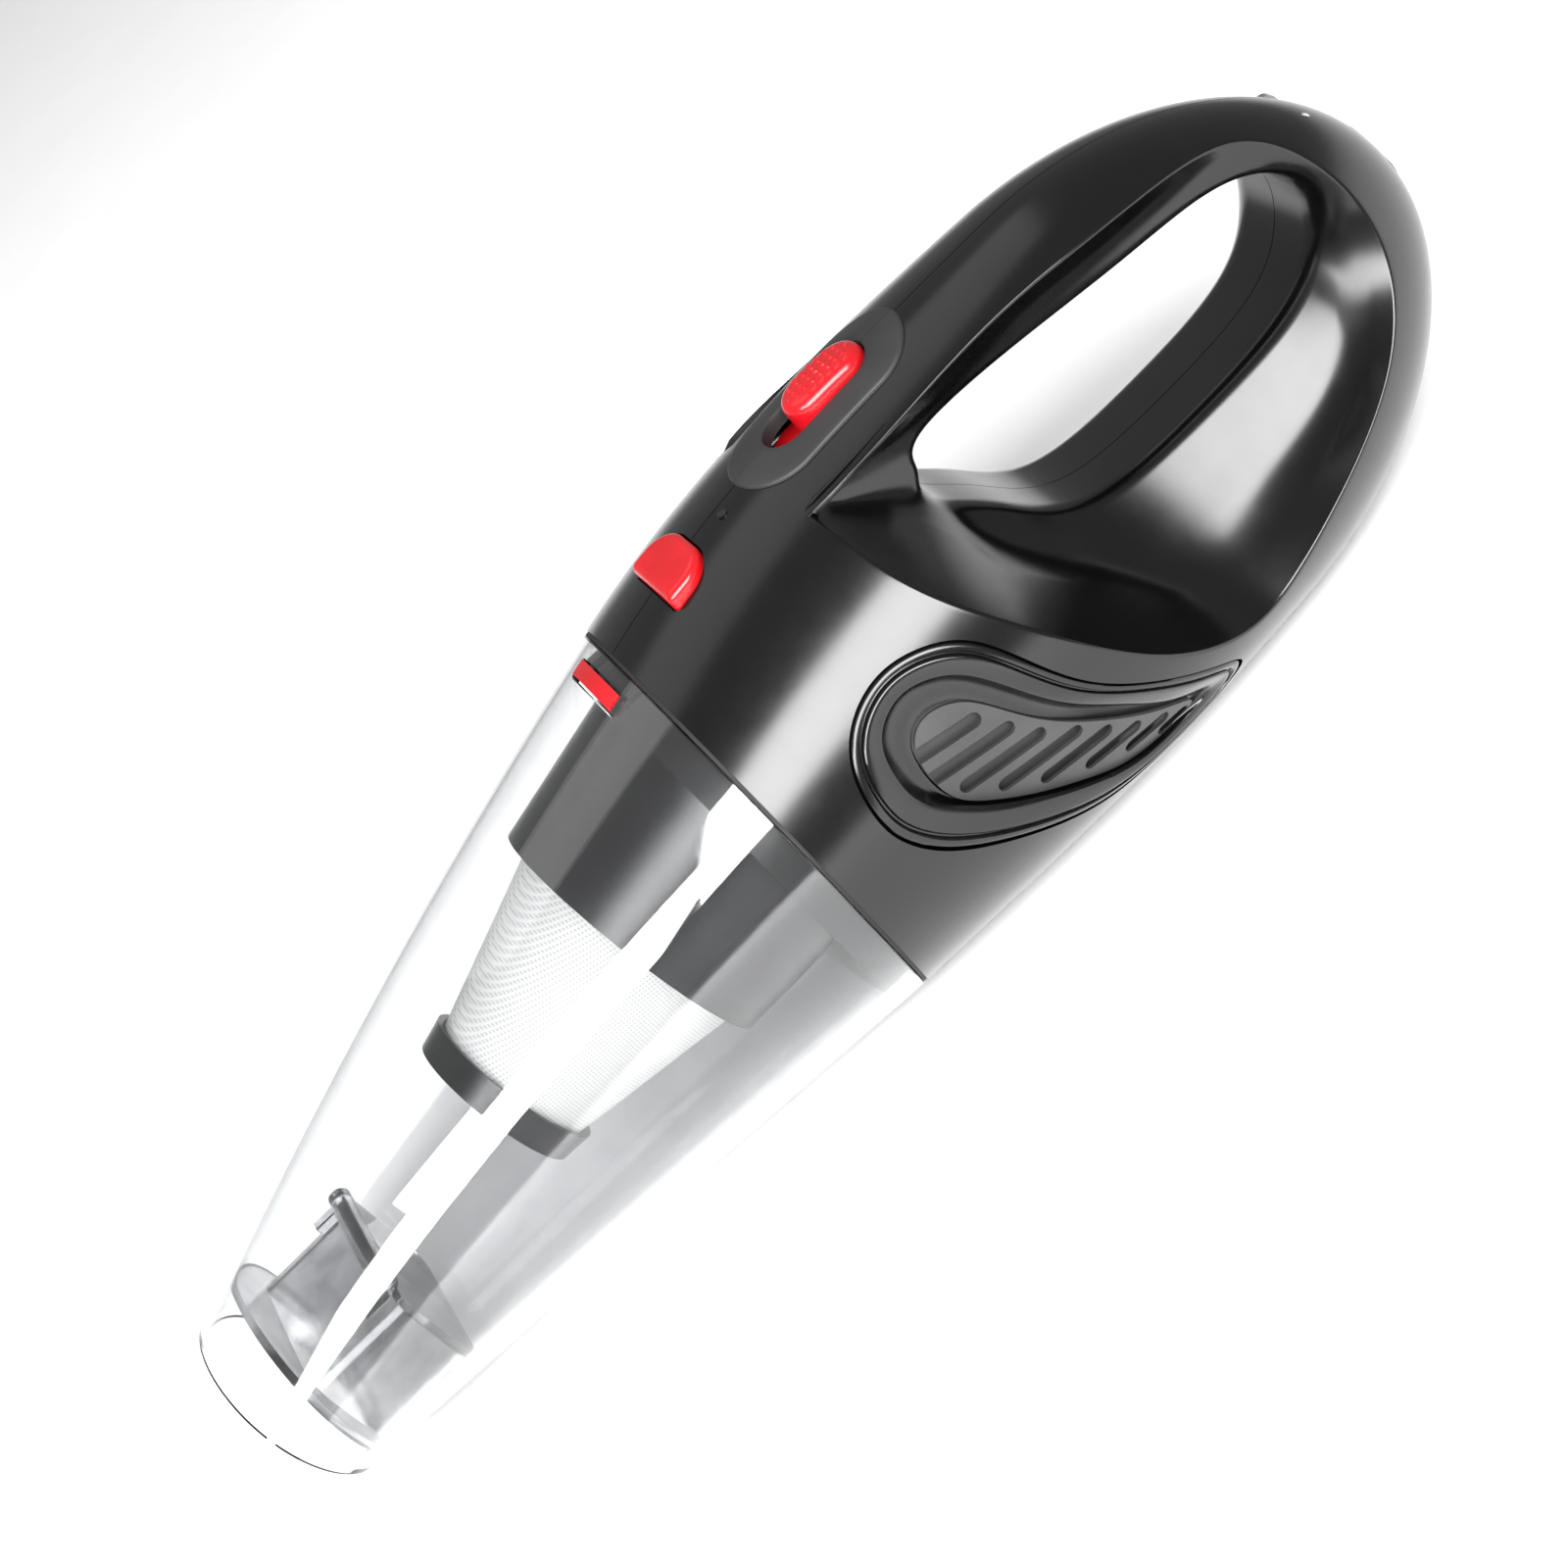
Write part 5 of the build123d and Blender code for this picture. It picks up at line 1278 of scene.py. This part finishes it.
window = np.array([
    (tooth_low[0] - WINDOW_GAP, tooth_low[1] - WINDOW_GAP),
    (tooth_low[0] + TOOTH_LENGTH + WINDOW_GAP, tooth_low[1] - WINDOW_GAP),
    (tooth_low[0] + TOOTH_LENGTH + WINDOW_GAP, tooth_high[1] + WINDOW_GAP),
    (tooth_low[0] - WINDOW_GAP, tooth_high[1] + WINDOW_GAP),
])
cut(cup, prism("window_core", window, 2, WINDOW_FLOOR, CROWN))
finish_piece(cup, clear_pc, "cup", ["dust_cup"])

# %% [markdown]
# ## Studio
# A pale floor and soft boxes. On glossy black plastic what you see is the reflection of the
# lights, so their size and place draw the highlights. The world around is dim.

# %% Floor
floor_material, tree, place, output = start_material("matt_studio_floor")
speckle = add(tree, "ShaderNodeTexNoise", {"Scale": per_metre(40)}, {"Vector": place})
tone = add(
    tree, "ShaderNodeValToRGB", {"stops": ((0, linear("#f6f6f6")), (1, linear("#fbfbfb")))},
    {"Fac": speckle.outputs["Fac"]},
)
surface = add(
    tree, "ShaderNodeBsdfPrincipled", {"Specular IOR Level": 0.0},
    {"Base Color": tone.outputs["Color"]},
)
surface.inputs["Roughness"].default_value = 1.0
tree.links.new(surface.outputs["BSDF"], output.inputs["Surface"])
FLOOR_HALF, FLOOR_DROP = 6000.0, 0.2
corners = np.array([
    [(-FLOOR_HALF, -FLOOR_HALF, -FLOOR_DROP), (FLOOR_HALF, -FLOOR_HALF, -FLOOR_DROP)],
    [(-FLOOR_HALF, FLOOR_HALF, -FLOOR_DROP), (FLOOR_HALF, FLOOR_HALF, -FLOOR_DROP)],
])
floor = mesh_from_grids("floor", [(corners, False, False, True)])
floor.data.materials.append(floor_material)

# %% Lights


def soft_box(name, place_mm, aim_mm, width, height, power):
    """Rectangular area light that faces a point, with its size in metres."""
    data = bpy.data.lights.new(name, "AREA")
    data.shape = "RECTANGLE"
    data.size = width
    data.size_y = height
    data.energy = power
    light = bpy.data.objects.new(name, data)
    bpy.context.scene.collection.objects.link(light)
    back = np.asarray(place_mm, float) - np.asarray(aim_mm, float)
    back = back / np.linalg.norm(back)
    side = np.cross([0.0, 0.0, 1.0] if abs(back[2]) < 0.99 else [0.0, 1.0, 0.0], back)
    side = side / np.linalg.norm(side)
    matrix = np.eye(4)
    matrix[:3, 0] = side
    matrix[:3, 1] = np.cross(back, side)
    matrix[:3, 2] = back
    matrix[:3, 3] = np.asarray(place_mm) * MM
    light.matrix_world = matrix.T.tolist()
    return light


WORLD_STRENGTH = 0.34
world = bpy.data.worlds.new("studio")
world.use_nodes = True
world.node_tree.nodes["Background"].inputs["Color"].default_value = linear("#ffffff")
world.node_tree.nodes["Background"].inputs["Strength"].default_value = WORLD_STRENGTH
bpy.context.scene.world = world
soft_box("side_box", (-60, -1000, 900), (0, 0, 60), 1.1, 0.62, 40)
soft_box("top_box", (-200, 700, 1600), (-200, 300, 0), 1.8, 1.0, 5)
soft_box("cup_strip", (-950, -850, 820), (0, 0, 60), 0.9, 0.36, 18)
bpy.context.scene.view_settings.view_transform = "Standard"
